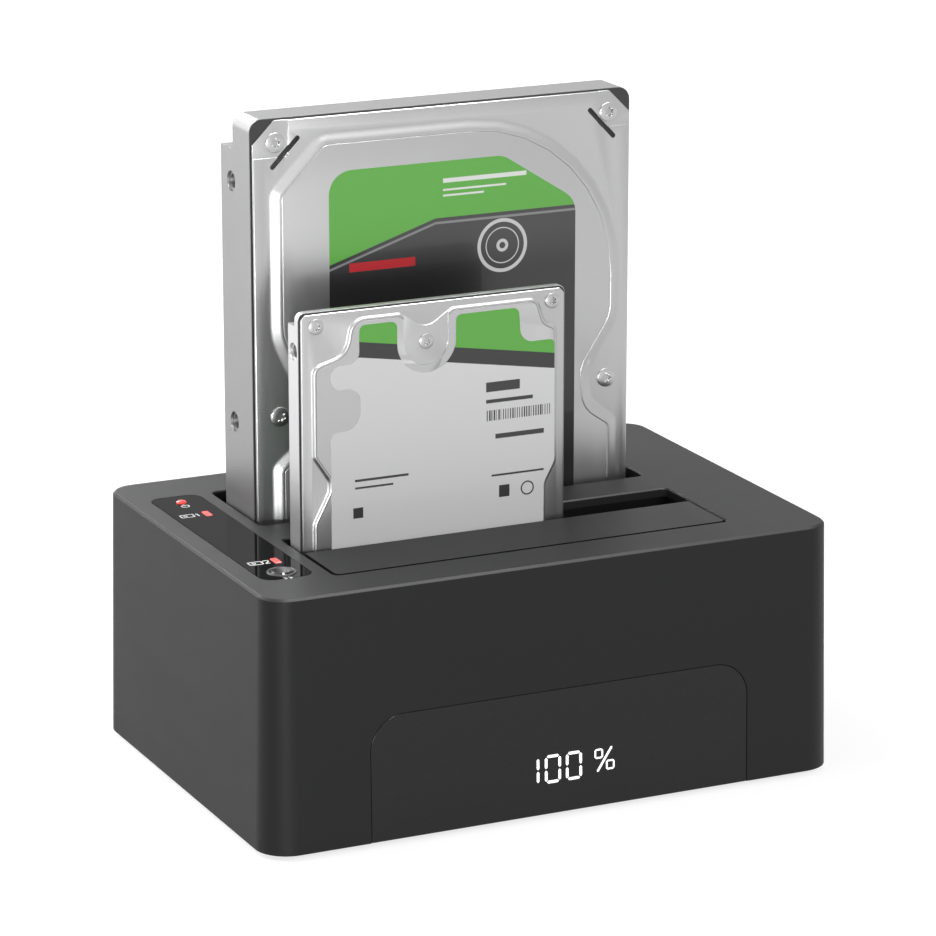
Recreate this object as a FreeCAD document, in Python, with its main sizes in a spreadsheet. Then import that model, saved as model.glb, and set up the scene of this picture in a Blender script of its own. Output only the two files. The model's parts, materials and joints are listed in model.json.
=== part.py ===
import FreeCAD, Part
import math
import os
import re

import Sketcher

# Drive duplicator: a free-standing dock with two drive bays, a hinged dust flap over each,
# a control strip, a display window, and the two drives that stand in the bays.
# Frame: +Z up, +X to the right seen from the front, front = -Y, millimetres.
# The origin is the middle of the footprint on the surface the dock stands on.

os.makedirs("parts", exist_ok=True)
doc = FreeCAD.newDocument("DriveDuplicator")

# ---------------------------------------------------------------- driving sizes
SIZES = [
    # housing
    ("foot_height", 1.2, "gap between the surface and the housing"),
    ("body_width", 151.4, "housing width at the base"),
    ("body_depth", 108.0, "housing depth at the base"),
    ("body_height", 62.2, "housing height without feet"),
    ("draft_inset", 1.3, "how far each side leans in from base to top"),
    ("corner_radius", 8.0, "upright corners of the housing at its base"),
    ("rim_bevel", 0.6, "bevel along the top edge"),
    ("wall", 2.2, "wall of the housing"),
    # bays
    ("bay_clearance", 2.7, "slots wider than the 3.5 inch drive"),
    ("front_land", 14.2, "housing's front to the front slot"),
    ("bay_land", 12.3, "front slot to the rear slot"),
    ("rear_land", 16.7, "rear slot to the housing's back"),
    ("slot_radius", 1.6, "corners of the slots"),
    ("bay_wall", 1.8, "walls of the bay frames"),
    ("hinge_pocket", 2.6, "how far the frame runs under the top wall ahead of the slot"),
    ("floor_gap", 0.5, "drive end above the bay floor"),
    # flaps
    ("flap_gap", 0.3, "gap round each flap"),
    ("flap_to_drive", 0.5, "front flap's free edge to the 2.5 inch drive"),
    ("flap_thickness", 1.6, "flap plate"),
    ("pin_radius", 0.6, "hinge pin"),
    ("pin_clearance", 0.05, "running clearance of the hinge pin"),
    ("knuckle_radius", 1.15, "flap knuckle"),
    ("knuckle_length", 12.0, "flap knuckle along the pin"),
    ("knuckle_inset", 6.0, "flap end to knuckle"),
    ("folded_angle", 90.0, "rear flap folded down by its drive, degrees"),
    # display window
    ("window_width", 99.9, "display window"),
    ("window_height", 30.8, "display window above the housing's lower edge"),
    ("window_radius", 8.5, "upper corners of the window"),
    ("window_thickness", 1.2, "display window"),
    ("window_shift", 0.6, "window centre right of the middle"),
    ("seam", 0.15, "groove round the window and the strip"),
    # control strip
    ("strip_front_land", 17.0, "housing's front to the control strip"),
    ("strip_rear_land", 16.4, "control strip to the housing's back"),
    ("strip_share", 0.552, "strip's part of the way from the slots to the housing's side"),
    ("strip_place", 0.431, "strip's middle along that way"),
    ("strip_radius", 3.4, "corners of the strip"),
    ("strip_thickness", 1.0, "control strip"),
    ("strip_board_thickness", 1.2, "small board under the strip"),
    ("strip_board_drop", 6.6, "top of the housing to the small board"),
    ("strip_post_radius", 1.6, "posts that hold the small board"),
    ("strip_stake_radius", 0.8, "staked ends of those posts"),
    ("front_post_setback", 24.0, "strip's front end to the front one of those posts"),
    ("rear_post_setback", 28.6, "strip's rear end to the rear one of those posts"),
    ("button_radius", 2.7, "clone button"),
    ("button_setback", 5.1, "strip's front end to the clone button"),
    ("button_gap", 0.2, "gap round the button"),
    ("button_proud", 0.5, "button above the strip"),
    ("button_travel", 0.8, "button stroke"),
    ("ring_width", 0.7, "ring round the button"),
    ("power_lamp_setback", 6.0, "strip's rear end to the power lamp"),
    ("power_lamp_radius", 1.25, "power lamp"),
    ("source_lamp_setback", 17.5, "strip's rear end to the source lamp"),
    ("target_lamp_setback", 13.8, "strip's front end to the target lamp"),
    ("lamp_length", 3.8, "source and target lamps, front to back"),
    ("lamp_width", 1.7, "source and target lamps, across"),
    ("lamp_inset", 2.2, "lamp centre right of the strip's middle"),
    ("web_start", 30.0, "bottom cover to the boss webs"),
    ("web_thickness", 1.4, "boss webs"),
    ("slot_chamfer", 0.35, "edge of the slots"),
    ("display_x", 2.2, "display module right of the middle"),
    ("display_z", 12.6, "display module above the surface"),
    ("display_width", 34.0, "display module"),
    ("display_height", 12.0, "display module"),
    ("usb_x", -14.0, "USB port"),
    ("usb_width", 12.0, "USB port"),
    ("usb_height", 10.6, "USB port"),
    ("jack_x", 14.0, "power jack"),
    ("jack_width", 9.0, "power jack"),
    ("jack_height", 11.0, "power jack"),
    ("switch_side", 35.7, "power switch in from the housing's side"),
    ("switch_z", 20.0, "power switch above the surface"),
    ("switch_radius", 6.0, "power switch bezel"),
    ("display_depth", 4.0, "display module"),
    ("digit_pitch", 9.6, "one digit to the next"),
    ("digit_height", 7.2, "digits"),
    ("power_lamp_rise", 0.6, "power lamp above the strip"),
    ("switch_height", 1.6, "switch under the button, on its board"),
    ("rail_spread", 26.0, "guide rails either side of the connector"),
    ("rail_width", 1.4, "guide rails"),
    ("rail_height", 12.0, "guide rails above the bay floor"),
    ("rail_lead", 1.2, "lead-in at the top of the rails"),
    ("spring_radius", 1.1, "flap spring coil"),
    ("spring_length", 4.5, "flap spring coil along the pin"),
    ("spring_leg", 9.0, "flap spring leg"),
    ("switch_depth", 4.0, "power switch bezel behind the skin"),
    ("power_button_radius", 4.2, "power button"),
    ("jack_bore_radius", 3.1, "power jack bore"),
    ("jack_pin_radius", 1.0, "power jack pin"),
    # base
    ("cover_thickness", 2.0, "bottom cover"),
    ("cover_gap", 0.15, "bottom cover to housing"),
    ("cover_recess", 0.3, "bottom cover above the housing's lower edge"),
    ("foot_radius", 5.0, "rubber foot"),
    ("foot_side", 29.7, "foot centre in from the housing's side"),
    ("foot_end", 11.0, "foot centre in from the housing's front and back"),
    ("foot_socket", 0.8, "foot let into the cover"),
    ("boss_radius", 3.2, "screw boss under the housing"),
    ("boss_side", 9.0, "screw boss in from the housing's side"),
    ("boss_end", 11.0, "screw boss in from the housing's front and back"),
    ("screw_radius", 1.45, "case screw shank"),
    ("screw_head_radius", 2.7, "case screw head"),
    ("screw_head_height", 1.3, "case screw head"),
    ("screw_length", 9.0, "case screw under its head"),
    # board
    ("standoff_height", 2.6, "board above the bottom cover"),
    ("board_thickness", 1.6, "main board"),
    ("board_side", 17.7, "main board in from the housing's sides"),
    ("board_front", 4.5, "main board in from the housing's front"),
    ("board_rear", 8.5, "main board in from the housing's back"),
    ("board_margin", 4.0, "board screws in from the board's edges"),
    ("standoff_radius", 3.0, "standoffs under the board"),
    ("board_screw_radius", 1.25, "board screws"),
    ("controller_side", 18.0, "controller chip in from the board's right edge"),
    ("controller_size", 14.0, "controller chip"),
    ("bridge_side", 7.0, "bridge chips in from the board's left edge"),
    ("bridge_size", 10.0, "bridge chips"),
    ("bridge_pitch", 14.0, "one bridge chip to the next"),
    ("chip_thickness", 1.3, "chips"),
    ("capacitor_side", 10.0, "capacitors in from the board's right edge"),
    ("capacitor_rear", 18.5, "middle capacitor in from the board's back edge"),
    ("capacitor_pitch", 9.0, "one capacitor to the next"),
    ("capacitor_radius", 3.15, "capacitors"),
    ("capacitor_height", 4.7, "capacitors"),
    # receptacles
    ("plug_datum", 30.1, "drive's left side to the middle of its connector"),
    ("socket_width", 45.0, "receptacle body"),
    ("socket_depth", 7.0, "receptacle body"),
    ("nose_width", 37.2, "part of the receptacle that enters the drive"),
    ("nose_depth", 3.4, "part of the receptacle that enters the drive"),
    ("nose_height", 4.6, "part of the receptacle that enters the drive"),
    ("tongue_thickness", 1.0, "blades in the drive's connector"),
    ("power_tongue", 20.4, "power blade"),
    ("data_tongue", 10.2, "data blade"),
    ("tongue_key", 0.5, "key at the end of a blade"),
    ("tongue_shift", -1.6, "blades to the middle of the connector"),
    # drives
    ("drive_side_gap", 0.35, "drives to the left wall of the bays"),
    ("large_width", 101.6, "3.5 inch drive"),
    ("large_length", 147.0, "3.5 inch drive"),
    ("large_thickness", 20.0, "3.5 inch drive, slim type"),
    ("large_setback", 3.1, "rear slot's front edge to the face of the 3.5 inch drive"),
    ("large_seat", 15.3, "end of the 3.5 inch drive above the surface"),
    ("large_corner", 3.2, "outline corners of the 3.5 inch drive"),
    ("small_width", 69.85, "2.5 inch drive"),
    ("small_length", 100.35, "2.5 inch drive"),
    ("small_thickness", 7.0, "2.5 inch drive"),
    ("small_setback", 12.1, "face of the 2.5 inch drive to the front slot's back edge"),
    ("small_seat", 21.0, "end of the 2.5 inch drive above the surface"),
    ("small_corner", 1.8, "outline corners of the 2.5 inch drive"),
    ("large_rise", 1.0, "raised platform of the large lid"),
    ("large_slope", 3.0, "run of the platform's sloping edge"),
    ("large_rim_thickness", 0.9, "large lid"),
    ("large_corner_cut", 5.6, "cut upper corners of the large lid"),
    ("large_step", 8.8, "upper end of the large casting that is thinner"),
    ("large_step_thickness", 12.4, "large drive at its thinner end"),
    ("large_tray_height", 104.0, "board tray up from the connector end"),
    ("large_tray_depth", 2.2, "board tray"),
    ("large_rail", 6.4, "rails beside the board tray"),
    ("large_hole_radius", 1.75, "mounting holes, 6-32"),
    ("large_hole_setback", 6.35, "side holes from the board side"),
    ("large_screw_head", 2.4, "cover screws"),
    ("large_plug_setback", 3.5, "board side to the middle of the connector"),
    ("small_rise", 0.5, "raised platform of the small lid"),
    ("small_slope", 0.5, "run of the platform's sloping edge"),
    ("small_rim_thickness", 0.6, "small lid"),
    ("small_corner_cut", 1.2, "cut upper corners of the small lid"),
    ("small_step", 3.4, "upper end of the small casting that is thinner"),
    ("small_step_thickness", 3.2, "small drive at its thinner end"),
    ("small_tray_height", 70.0, "board tray up from the connector end"),
    ("small_tray_depth", 1.4, "board tray"),
    ("small_rail", 6.2, "rails beside the board tray"),
    ("small_hole_radius", 1.5, "mounting holes, M3"),
    ("small_hole_setback", 3.0, "side holes from the board side"),
    ("small_screw_head", 1.85, "cover screws"),
    ("small_plug_setback", 2.8, "board side to the middle of the connector"),
    ("hole_depth", 3.5, "side holes"),
    ("back_hole_depth", 3.0, "holes in the board side"),
    ("cover_inset", 0.45, "lid inside the casting's outline"),
    ("cover_screw_height", 0.45, "heads of the cover screws"),
    ("gasket_thickness", 0.2, "seal between lid and casting"),
    ("label_thickness", 0.1, "drive labels"),
    ("plug_width", 40.0, "drive connector"),
    ("plug_depth", 5.2, "drive connector"),
    ("plug_height", 8.5, "drive connector"),
    ("plug_cavity", 5.2, "mouth of the drive connector"),
]

# ---------------------------------------------------------------- places worked out from them
PLACES = [
    ("top_z", "foot_height + body_height"),
    ("ceiling_z", "top_z - wall"),
    ("bay_width", "large_width + bay_clearance"),
    ("bay_depth", "(body_depth - front_land - bay_land - rear_land) / 2"),
    ("front_slot_front", "front_land - body_depth / 2"),
    ("front_slot_back", "front_slot_front + bay_depth"),
    ("rear_slot_front", "front_slot_back + bay_land"),
    ("rear_slot_back", "rear_slot_front + bay_depth"),
    ("front_bay_y", "(front_slot_front + front_slot_back) / 2"),
    ("rear_bay_y", "(rear_slot_front + rear_slot_back) / 2"),
    ("large_face", "rear_slot_front + large_setback"),
    ("small_face", "front_slot_back - small_setback"),
    ("flap_reach", "small_face - flap_to_drive - front_slot_front - flap_gap"),
    ("side_land", "(body_width - bay_width) / 2"),
    ("strip_width", "side_land * strip_share"),
    ("strip_x", "bay_width / 2 + side_land * strip_place"),
    ("strip_front", "strip_front_land - body_depth / 2"),
    ("strip_back", "body_depth / 2 - strip_rear_land"),
    ("strip_length", "strip_back - strip_front"),
    ("strip_y", "(strip_front + strip_back) / 2"),
    ("button_y", "strip_front + button_setback"),
    ("target_lamp_y", "strip_front + target_lamp_setback"),
    ("front_post_y", "strip_front + front_post_setback"),
    ("rear_post_y", "strip_back - rear_post_setback"),
    ("source_lamp_y", "strip_back - source_lamp_setback"),
    ("power_lamp_y", "strip_back - power_lamp_setback"),
    ("foot_x", "body_width / 2 - foot_side"),
    ("foot_y", "body_depth / 2 - foot_end"),
    ("boss_x", "body_width / 2 - boss_side"),
    ("boss_y", "body_depth / 2 - boss_end"),
    ("board_width", "body_width - 2 * board_side"),
    ("board_depth", "body_depth - board_front - board_rear"),
    ("board_y", "(board_front - board_rear) / 2"),
    ("controller_x", "board_width / 2 - controller_side"),
    ("bridge_x", "bridge_side - board_width / 2"),
    ("capacitor_x", "board_width / 2 - capacitor_side"),
    ("capacitor_y", "board_y + board_depth / 2 - capacitor_rear"),
    ("switch_x", "body_width / 2 - switch_side"),
    ("hinge_drop", "wall + knuckle_radius + 0.3"),
    ("hinge_z", "top_z - hinge_drop"),
    ("hinge_back", "hinge_pocket - knuckle_radius - 0.35"),
    ("front_hinge_y", "front_slot_front - hinge_back"),
    ("rear_hinge_y", "rear_slot_front - hinge_back"),
    ("cover_bottom", "foot_height + cover_recess"),
    ("cover_top", "cover_bottom + cover_thickness"),
    ("board_bottom", "cover_top + standoff_height"),
    ("board_top", "board_bottom + board_thickness"),
    ("strip_board_top", "top_z - strip_board_drop"),
    ("switch_top", "strip_board_top + switch_height"),
    ("display_front", "0 - body_depth / 2 + wall + 0.9"),
    ("port_face", "body_depth / 2 - 0.5"),
    ("port_start", "rear_slot_back + bay_wall + 0.9"),
    ("port_depth", "port_face - port_start"),
    ("drives_left", "0 - bay_width / 2 + drive_side_gap"),
    ("plug_x", "drives_left + plug_datum"),
    ("large_x", "drives_left + large_width / 2"),
    ("large_back", "large_face + large_thickness"),
    ("switch_seat", "body_depth / 2 - draft_inset * (switch_z - foot_height) / body_height - 0.15"),
    ("large_top", "large_seat + large_length"),
    ("large_plug_y", "large_back - large_plug_setback"),
    ("large_rim", "large_face + large_rise"),
    ("small_x", "drives_left + small_width / 2"),
    ("small_back", "small_face + small_thickness"),
    ("small_top", "small_seat + small_length"),
    ("small_plug_y", "small_back - small_plug_setback"),
    ("small_rim", "small_face + small_rise"),
    ("bridge_y", "(small_plug_y + large_plug_y) / 2"),
    ("large_across", "large_width / 101.6"),
    ("large_down", "large_length / 147"),
    ("small_across", "small_width / 69.85"),
    ("small_down", "small_length / 100.35"),
]


def make_sheet(name):
    """An empty spreadsheet."""
    return doc.addObject("Spreadsheet::Sheet", name)


sizes = make_sheet("Sizes")
for row, (alias, number_text, note) in enumerate(SIZES, start=1):
    sizes.set("A%d" % row, alias)
    sizes.set("B%d" % row, str(number_text))
    sizes.setAlias("B%d" % row, alias)
    sizes.set("C%d" % row, note)
doc.recompute()

SHEET_OF = {row[0]: "Sizes" for row in SIZES}


def tied(formula):
    """The formula with every size and place named in its sheet."""
    def full_name(found):
        word = found.group(0)
        return SHEET_OF[word] + "." + word if word in SHEET_OF else word
    return re.sub(r"[A-Za-z_][A-Za-z_0-9]*", full_name, str(formula))


places = make_sheet("Places")
for row, (alias, formula) in enumerate(PLACES, start=1):
    places.set("A%d" % row, alias)
    places.set("B%d" % row, "=" + tied(formula).replace("Places.", ""))
    places.setAlias("B%d" % row, alias)
    SHEET_OF[alias] = "Places"
    doc.recompute()

workings = make_sheet("Workings")


def number(formula):
    """What a formula in the named sizes comes to now."""
    workings.set("A1", "=" + tied(formula))
    workings.recompute()
    return float(workings.get("A1"))


def bind(thing, setting, formula):
    """Tie one setting of a document object to the sheets."""
    thing.setExpression(setting, tied(formula))


# ---------------------------------------------------------------- sketches
def closed_outline(sketch, corners):
    """Lines through the corners, each (across, up) or (across, up, radius) as formulas."""
    count = len(corners)
    spots = [FreeCAD.Vector(number(c[0]), number(c[1]), 0) for c in corners]
    rounds = [c[2] if len(c) > 2 else None for c in corners]
    entry, leave = [], []
    for index in range(count):
        spot = spots[index]
        if rounds[index] is None:
            entry.append(spot)
            leave.append(spot)
            continue
        back = (spots[index - 1] - spot).normalize()
        ahead = (spots[(index + 1) % count] - spot).normalize()
        half = back.getAngle(ahead) / 2
        reach = number(rounds[index]) / math.tan(half)
        entry.append(spot + back * reach)
        leave.append(spot + ahead * reach)
    lines = []
    for index in range(count):
        start, end = leave[index], entry[(index + 1) % count]
        lines.append(sketch.addGeometry(Part.LineSegment(start, end), False))
    for index in range(count):
        before, after = lines[index - 1], lines[index]
        if rounds[index] is None:
            sketch.addConstraint(Sketcher.Constraint("Coincident", before, 2, after, 1))
            fix_point(sketch, after, 1, spots[index], corners[index])
            continue
        arc = add_corner_arc(sketch, entry[index], leave[index], spots[index], number(rounds[index]))
        first, last = (1, 2) if turns_left(entry[index], spots[index], leave[index]) else (2, 1)
        sketch.addConstraint(Sketcher.Constraint("Tangent", before, 2, arc, first))
        sketch.addConstraint(Sketcher.Constraint("Tangent", after, 1, arc, last))
        row = sketch.addConstraint(Sketcher.Constraint("Radius", arc, number(rounds[index])))
        bind(sketch, "Constraints[%d]" % row, rounds[index])
        mark = sketch.addGeometry(Part.Point(spots[index]), True)
        sketch.addConstraint(Sketcher.Constraint("PointOnObject", mark, 1, before))
        sketch.addConstraint(Sketcher.Constraint("PointOnObject", mark, 1, after))
        fix_point(sketch, mark, 1, spots[index], corners[index])


def turns_left(start, middle, end):
    """Whether the way start-middle-end turns to the left."""
    return (middle - start).cross(end - middle).z > 0


def add_corner_arc(sketch, start, end, corner, radius):
    """The arc that rounds a corner between two straight lines."""
    chord_middle = (start + end) * 0.5
    outward = (corner - chord_middle).normalize()
    to_centre = math.sqrt(max(radius ** 2 - (end - start).Length ** 2 / 4, 0.0))
    centre = chord_middle - outward * to_centre
    if not turns_left(start, corner, end):
        start, end = end, start
    angles = [math.atan2(p.y - centre.y, p.x - centre.x) for p in (start, end)]
    circle = Part.Circle(centre, FreeCAD.Vector(0, 0, 1), radius)
    return sketch.addGeometry(Part.ArcOfCircle(circle, angles[0], angles[1]), False)


def fix_point(sketch, shape, point, spot, formulas):
    """Hold a point at a place given by two formulas."""
    for kind, value, formula in (("DistanceX", spot.x, formulas[0]), ("DistanceY", spot.y, formulas[1])):
        row = sketch.addConstraint(Sketcher.Constraint(kind, -1, 1, shape, point, value))
        bind(sketch, "Constraints[%d]" % row, formula)


def rectangle(sketch, across, up, width, height, radius=None):
    """A rectangle by its centre, with rounded corners if a radius is given."""
    corners = []
    for side, end in ((-1, -1), (1, -1), (1, 1), (-1, 1)):
        corner = ("(%s) + %d * (%s) / 2" % (across, side, width), "(%s) + %d * (%s) / 2" % (up, end, height))
        corners.append(corner if radius is None else corner + (radius,))
    closed_outline(sketch, corners)


def circle(sketch, across, up, radius):
    """A circle by its centre."""
    centre = FreeCAD.Vector(number(across), number(up), 0)
    ring = Part.Circle(centre, FreeCAD.Vector(0, 0, 1), number(radius))
    shape = sketch.addGeometry(ring, False)
    row = sketch.addConstraint(Sketcher.Constraint("Radius", shape, number(radius)))
    bind(sketch, "Constraints[%d]" % row, radius)
    fix_point(sketch, shape, 3, centre, (across, up))


# ---------------------------------------------------------------- bodies
PIECES = {}


class Piece:
    """A PartDesign body that becomes one named piece, or the stock for one."""

    def __init__(self, label, keep=True):
        self.label = label
        self.body = doc.addObject("PartDesign::Body", label)
        self.body.Label = label
        if keep:
            PIECES[label] = self.body

    def add(self, kind, name):
        return self.body.newObject(kind, self.label + "_" + name)

    def sketch(self, plane, place="0"):
        """A sketch parallel to XY, XZ or YZ at a height, depth or side given by a formula."""
        sketch = self.add("Sketcher::SketchObject", "sketch")
        for feature in self.body.Origin.OriginFeatures:
            if feature.Role == plane + "_Plane":
                sketch.AttachmentSupport = [(feature, "")]
        sketch.MapMode = "FlatFace"
        away = "0 - (%s)" % place if plane == "XZ" else place
        bind(sketch, "AttachmentOffset.Base.z", away)
        return sketch

    def pad(self, sketch, length, backward=False, taper=None, both=False):
        pad = self.add("PartDesign::Pad", "pad")
        pad.Profile = sketch
        bind(pad, "Length", length)
        pad.Reversed = backward
        pad.Midplane = both
        if taper is not None:
            bind(pad, "TaperAngle", taper)
        return pad

    def pocket(self, sketch, length, backward=False):
        """Cut away from the sketch's normal, or along it where backward is set."""
        doc.recompute()
        before = self.body.Shape.Volume
        pocket = self.add("PartDesign::Pocket", "pocket")
        pocket.Profile = sketch
        bind(pocket, "Length", length)
        pocket.Reversed = backward
        doc.recompute()
        if self.body.Shape.Volume > before - 1e-4:
            raise RuntimeError("a pocket of %s cuts nothing" % self.label)
        return pocket

    def turn(self, sketch):
        """A full revolution about the sketch's upright axis."""
        turned = self.add("PartDesign::Revolution", "turn")
        turned.Profile = sketch
        turned.ReferenceAxis = (sketch, ["V_Axis"])
        turned.Angle = 360
        return turned

    def dress(self, kind, setting, size, chosen):
        """A fillet or chamfer of the edges that the test picks."""
        doc.recompute()
        base = self.body.Tip
        names = []
        for place, edge in enumerate(base.Shape.Edges, start=1):
            if chosen(edge.BoundBox):
                names.append("Edge%d" % place)
        dressed = self.add("PartDesign::" + kind, kind.lower())
        dressed.Base = (base, names)
        bind(dressed, setting, size)
        self.body.Tip = dressed
        return dressed

    def fillet(self, radius, chosen):
        return self.dress("Fillet", "Radius", radius, chosen)

    def chamfer(self, size, chosen):
        return self.dress("Chamfer", "Size", size, chosen)


def at_height(height, slack=0.01):
    """A test for edges that lie flat at one height."""
    level = number(height)
    return lambda box: abs(box.ZMin - level) < slack and abs(box.ZMax - level) < slack


def block(name, low, extent):
    """A plain box by its low corner and extent, each three formulas."""
    box = doc.addObject("Part::Box", name)
    for setting, formula in zip(("Length", "Width", "Height"), extent):
        bind(box, setting, formula)
    for axis, formula in zip("xyz", low):
        bind(box, "Placement.Base." + axis, formula)
    return box


def rod(name, base, radius, length, axis="z"):
    """A cylinder from its base centre along one axis."""
    cylinder = doc.addObject("Part::Cylinder", name)
    bind(cylinder, "Radius", radius)
    bind(cylinder, "Height", length)
    turns = {"x": (FreeCAD.Vector(0, 1, 0), 90), "y": (FreeCAD.Vector(1, 0, 0), -90)}
    if axis in turns:
        cylinder.Placement.Rotation = FreeCAD.Rotation(*turns[axis])
    for direction, formula in zip("xyz", base):
        bind(cylinder, "Placement.Base." + direction, formula)
    return cylinder


def joined(name, shapes):
    """Several shapes fused into one."""
    fusion = doc.addObject("Part::MultiFuse", name)
    fusion.Shapes = shapes
    return fusion


def cut_from(name, base, tools):
    """A shape with others cut from it."""
    cut = doc.addObject("Part::Cut", name)
    cut.Base = base
    cut.Tool = tools[0] if len(tools) == 1 else joined(name + "_tools", tools)
    return cut


def group(name, shapes):
    """Separate solids kept in one piece."""
    compound = doc.addObject("Part::Compound", name)
    compound.Links = shapes
    return compound


def keep(label, shape):
    """Name a finished shape as a piece of the model."""
    shape.Label = label
    PIECES[label] = shape
    return shape


# ---------------------------------------------------------------- housing
WINDOW_LEAN = "draft_inset * window_height / body_height"
WINDOW_FLOOR = "0 - body_depth / 2 + %s + window_thickness" % WINDOW_LEAN
STRIP_X = "0 - strip_x"
LAMP_X = "0 - strip_x + lamp_inset"


LEAN_ANGLE = "atan(draft_inset / body_height)"


def lean_inwards(piece, inset):
    """Draft the upright faces that lie this far inside the base outline; the lower edge stays."""
    doc.recompute()
    solid = piece.body.Tip
    across, along = number("body_width / 2 - (%s)" % inset), number("body_depth / 2 - (%s)" % inset)
    sides, base = [], None
    for place, face in enumerate(solid.Shape.Faces, start=1):
        box = face.BoundBox
        reach_x, reach_y = max(abs(box.XMin), abs(box.XMax)), max(abs(box.YMin), abs(box.YMax))
        if box.ZLength > 1 and (abs(reach_x - across) < 0.01 or abs(reach_y - along) < 0.01):
            sides.append("Face%d" % place)
        if box.ZLength < 0.01 and abs(box.ZMin - number("foot_height")) < 0.01:
            base = "Face%d" % place
    draft = piece.add("PartDesign::Draft", "draft")
    draft.Base = (solid, sides)
    draft.NeutralPlane = (solid, [base])
    bind(draft, "Angle", LEAN_ANGLE)
    piece.body.Tip = draft


def housing_stock(piece):
    """The outer form of the housing, leaning in towards the top."""
    foot = piece.sketch("XY", "foot_height")
    rectangle(foot, "0", "0", "body_width", "body_depth", "corner_radius")
    piece.pad(foot, "body_height")
    lean_inwards(piece, "0")


def make_upper_housing():
    housing = Piece("upper_housing")
    housing_stock(housing)
    hollow = housing.sketch("XY", "foot_height")
    rectangle(hollow, "0", "0", "body_width - 2 * wall", "body_depth - 2 * wall", "corner_radius - wall")
    housing.pocket(hollow, "body_height - wall", backward=True)
    lean_inwards(housing, "wall")
    housing.chamfer("rim_bevel", at_height("top_z"))
    add_bosses(housing)
    add_strip_posts(housing)
    cut_slots(housing)
    cut_strip_seat(housing)
    cut_window_seat(housing)
    cut_rear_ports(housing)


def each_boss():
    for side in (-1, 1):
        for end in (-1, 1):
            yield side, "%d * boss_x" % side, "%d * boss_y" % end


def add_bosses(housing):
    """Four screw bosses with webs to the side walls, then the pilot holes."""
    bosses = housing.sketch("XY", "cover_top")
    for _, across, along in each_boss():
        circle(bosses, across, along, "boss_radius")
    housing.pad(bosses, "ceiling_z - cover_top")
    webs = housing.sketch("XY", "cover_top + web_start")
    for side, across, along in each_boss():
        reach = "body_width / 2 - wall - boss_x"
        rectangle(webs, "%s + %d * (%s) / 2" % (across, side, reach), along, reach, "web_thickness")
    housing.pad(webs, "ceiling_z - cover_top - web_start")
    pilots = housing.sketch("XY", "cover_top")
    for _, across, along in each_boss():
        circle(pilots, across, along, "screw_radius")
    housing.pocket(pilots, "screw_length", backward=True)


def add_strip_posts(housing):
    """Two posts under the strip, with ends staked through its small board."""
    posts = housing.sketch("XY", "strip_board_top")
    stakes = housing.sketch("XY", "strip_board_top - strip_board_thickness - 0.5")
    for along in ("front_post_y", "rear_post_y"):
        circle(posts, STRIP_X, along, "strip_post_radius")
        circle(stakes, STRIP_X, along, "strip_stake_radius")
    housing.pad(posts, "ceiling_z - strip_board_top")
    housing.pad(stakes, "strip_board_thickness + 0.5")


def cut_slots(housing):
    slots = housing.sketch("XY", "top_z")
    for bay in ("front_bay_y", "rear_bay_y"):
        rectangle(slots, "0", bay, "bay_width", "bay_depth", "slot_radius")
    housing.pocket(slots, "wall * 1.5")
    half_width, back = number("bay_width") / 2, number("rear_slot_back")
    front = number("front_slot_front")
    rim = at_height("top_z")
    housing.chamfer("slot_chamfer", lambda box: rim(box) and abs(box.Center.x) < half_width + 0.1
                    and front - 0.1 < box.Center.y < back + 0.1)


def cut_strip_seat(housing):
    seat = housing.sketch("XY", "top_z")
    rectangle(seat, STRIP_X, "strip_y", "strip_width + 2 * seam", "strip_length + 2 * seam",
              "strip_radius + seam")
    housing.pocket(seat, "strip_thickness")
    holes = housing.sketch("XY", "top_z - strip_thickness")
    circle(holes, STRIP_X, "button_y", "button_radius + button_gap + 0.2")
    circle(holes, STRIP_X, "power_lamp_y", "power_lamp_radius + 0.2")
    for along in ("source_lamp_y", "target_lamp_y"):
        rectangle(holes, LAMP_X, along, "lamp_width + 0.4", "lamp_length + 0.4")
    housing.pocket(holes, "wall")


def window_outline(sketch, grow):
    """The display window's outline, open towards the lower edge."""
    left = "window_shift - window_width / 2 - %s" % grow
    right = "window_shift + window_width / 2 + %s" % grow
    upper = "foot_height + window_height + %s" % grow
    rounding = "window_radius + %s" % grow
    closed_outline(sketch, [(left, "0"), (right, "0"), (right, upper, rounding), (left, upper, rounding)])


def cut_window_seat(housing):
    seat = housing.sketch("XZ", "0 - body_depth / 2 - 1")
    window_outline(seat, "seam")
    housing.pocket(seat, "1 + %s + window_thickness" % WINDOW_LEAN)
    port = housing.sketch("XZ", WINDOW_FLOOR)
    rectangle(port, "display_x", "display_z", "display_width - 2", "display_height - 2", "0.8")
    housing.pocket(port, "wall + 1")


def cut_rear_ports(housing):
    ports = housing.sketch("XZ", "body_depth / 2 + 1")
    rectangle(ports, "usb_x", "board_top + usb_height / 2", "usb_width + 0.4", "usb_height + 0.4")
    rectangle(ports, "jack_x", "board_top + jack_height / 2", "jack_width + 0.4", "jack_height + 0.4")
    circle(ports, "switch_x", "switch_z", "switch_radius - 0.9")
    housing.pocket(ports, "wall + 3", backward=True)
    seat = housing.sketch("XZ", "body_depth / 2 + 1")
    circle(seat, "switch_x", "switch_z", "switch_radius + 0.1")
    housing.pocket(seat, "body_depth / 2 + 1 - switch_seat", backward=True)


make_upper_housing()


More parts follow.
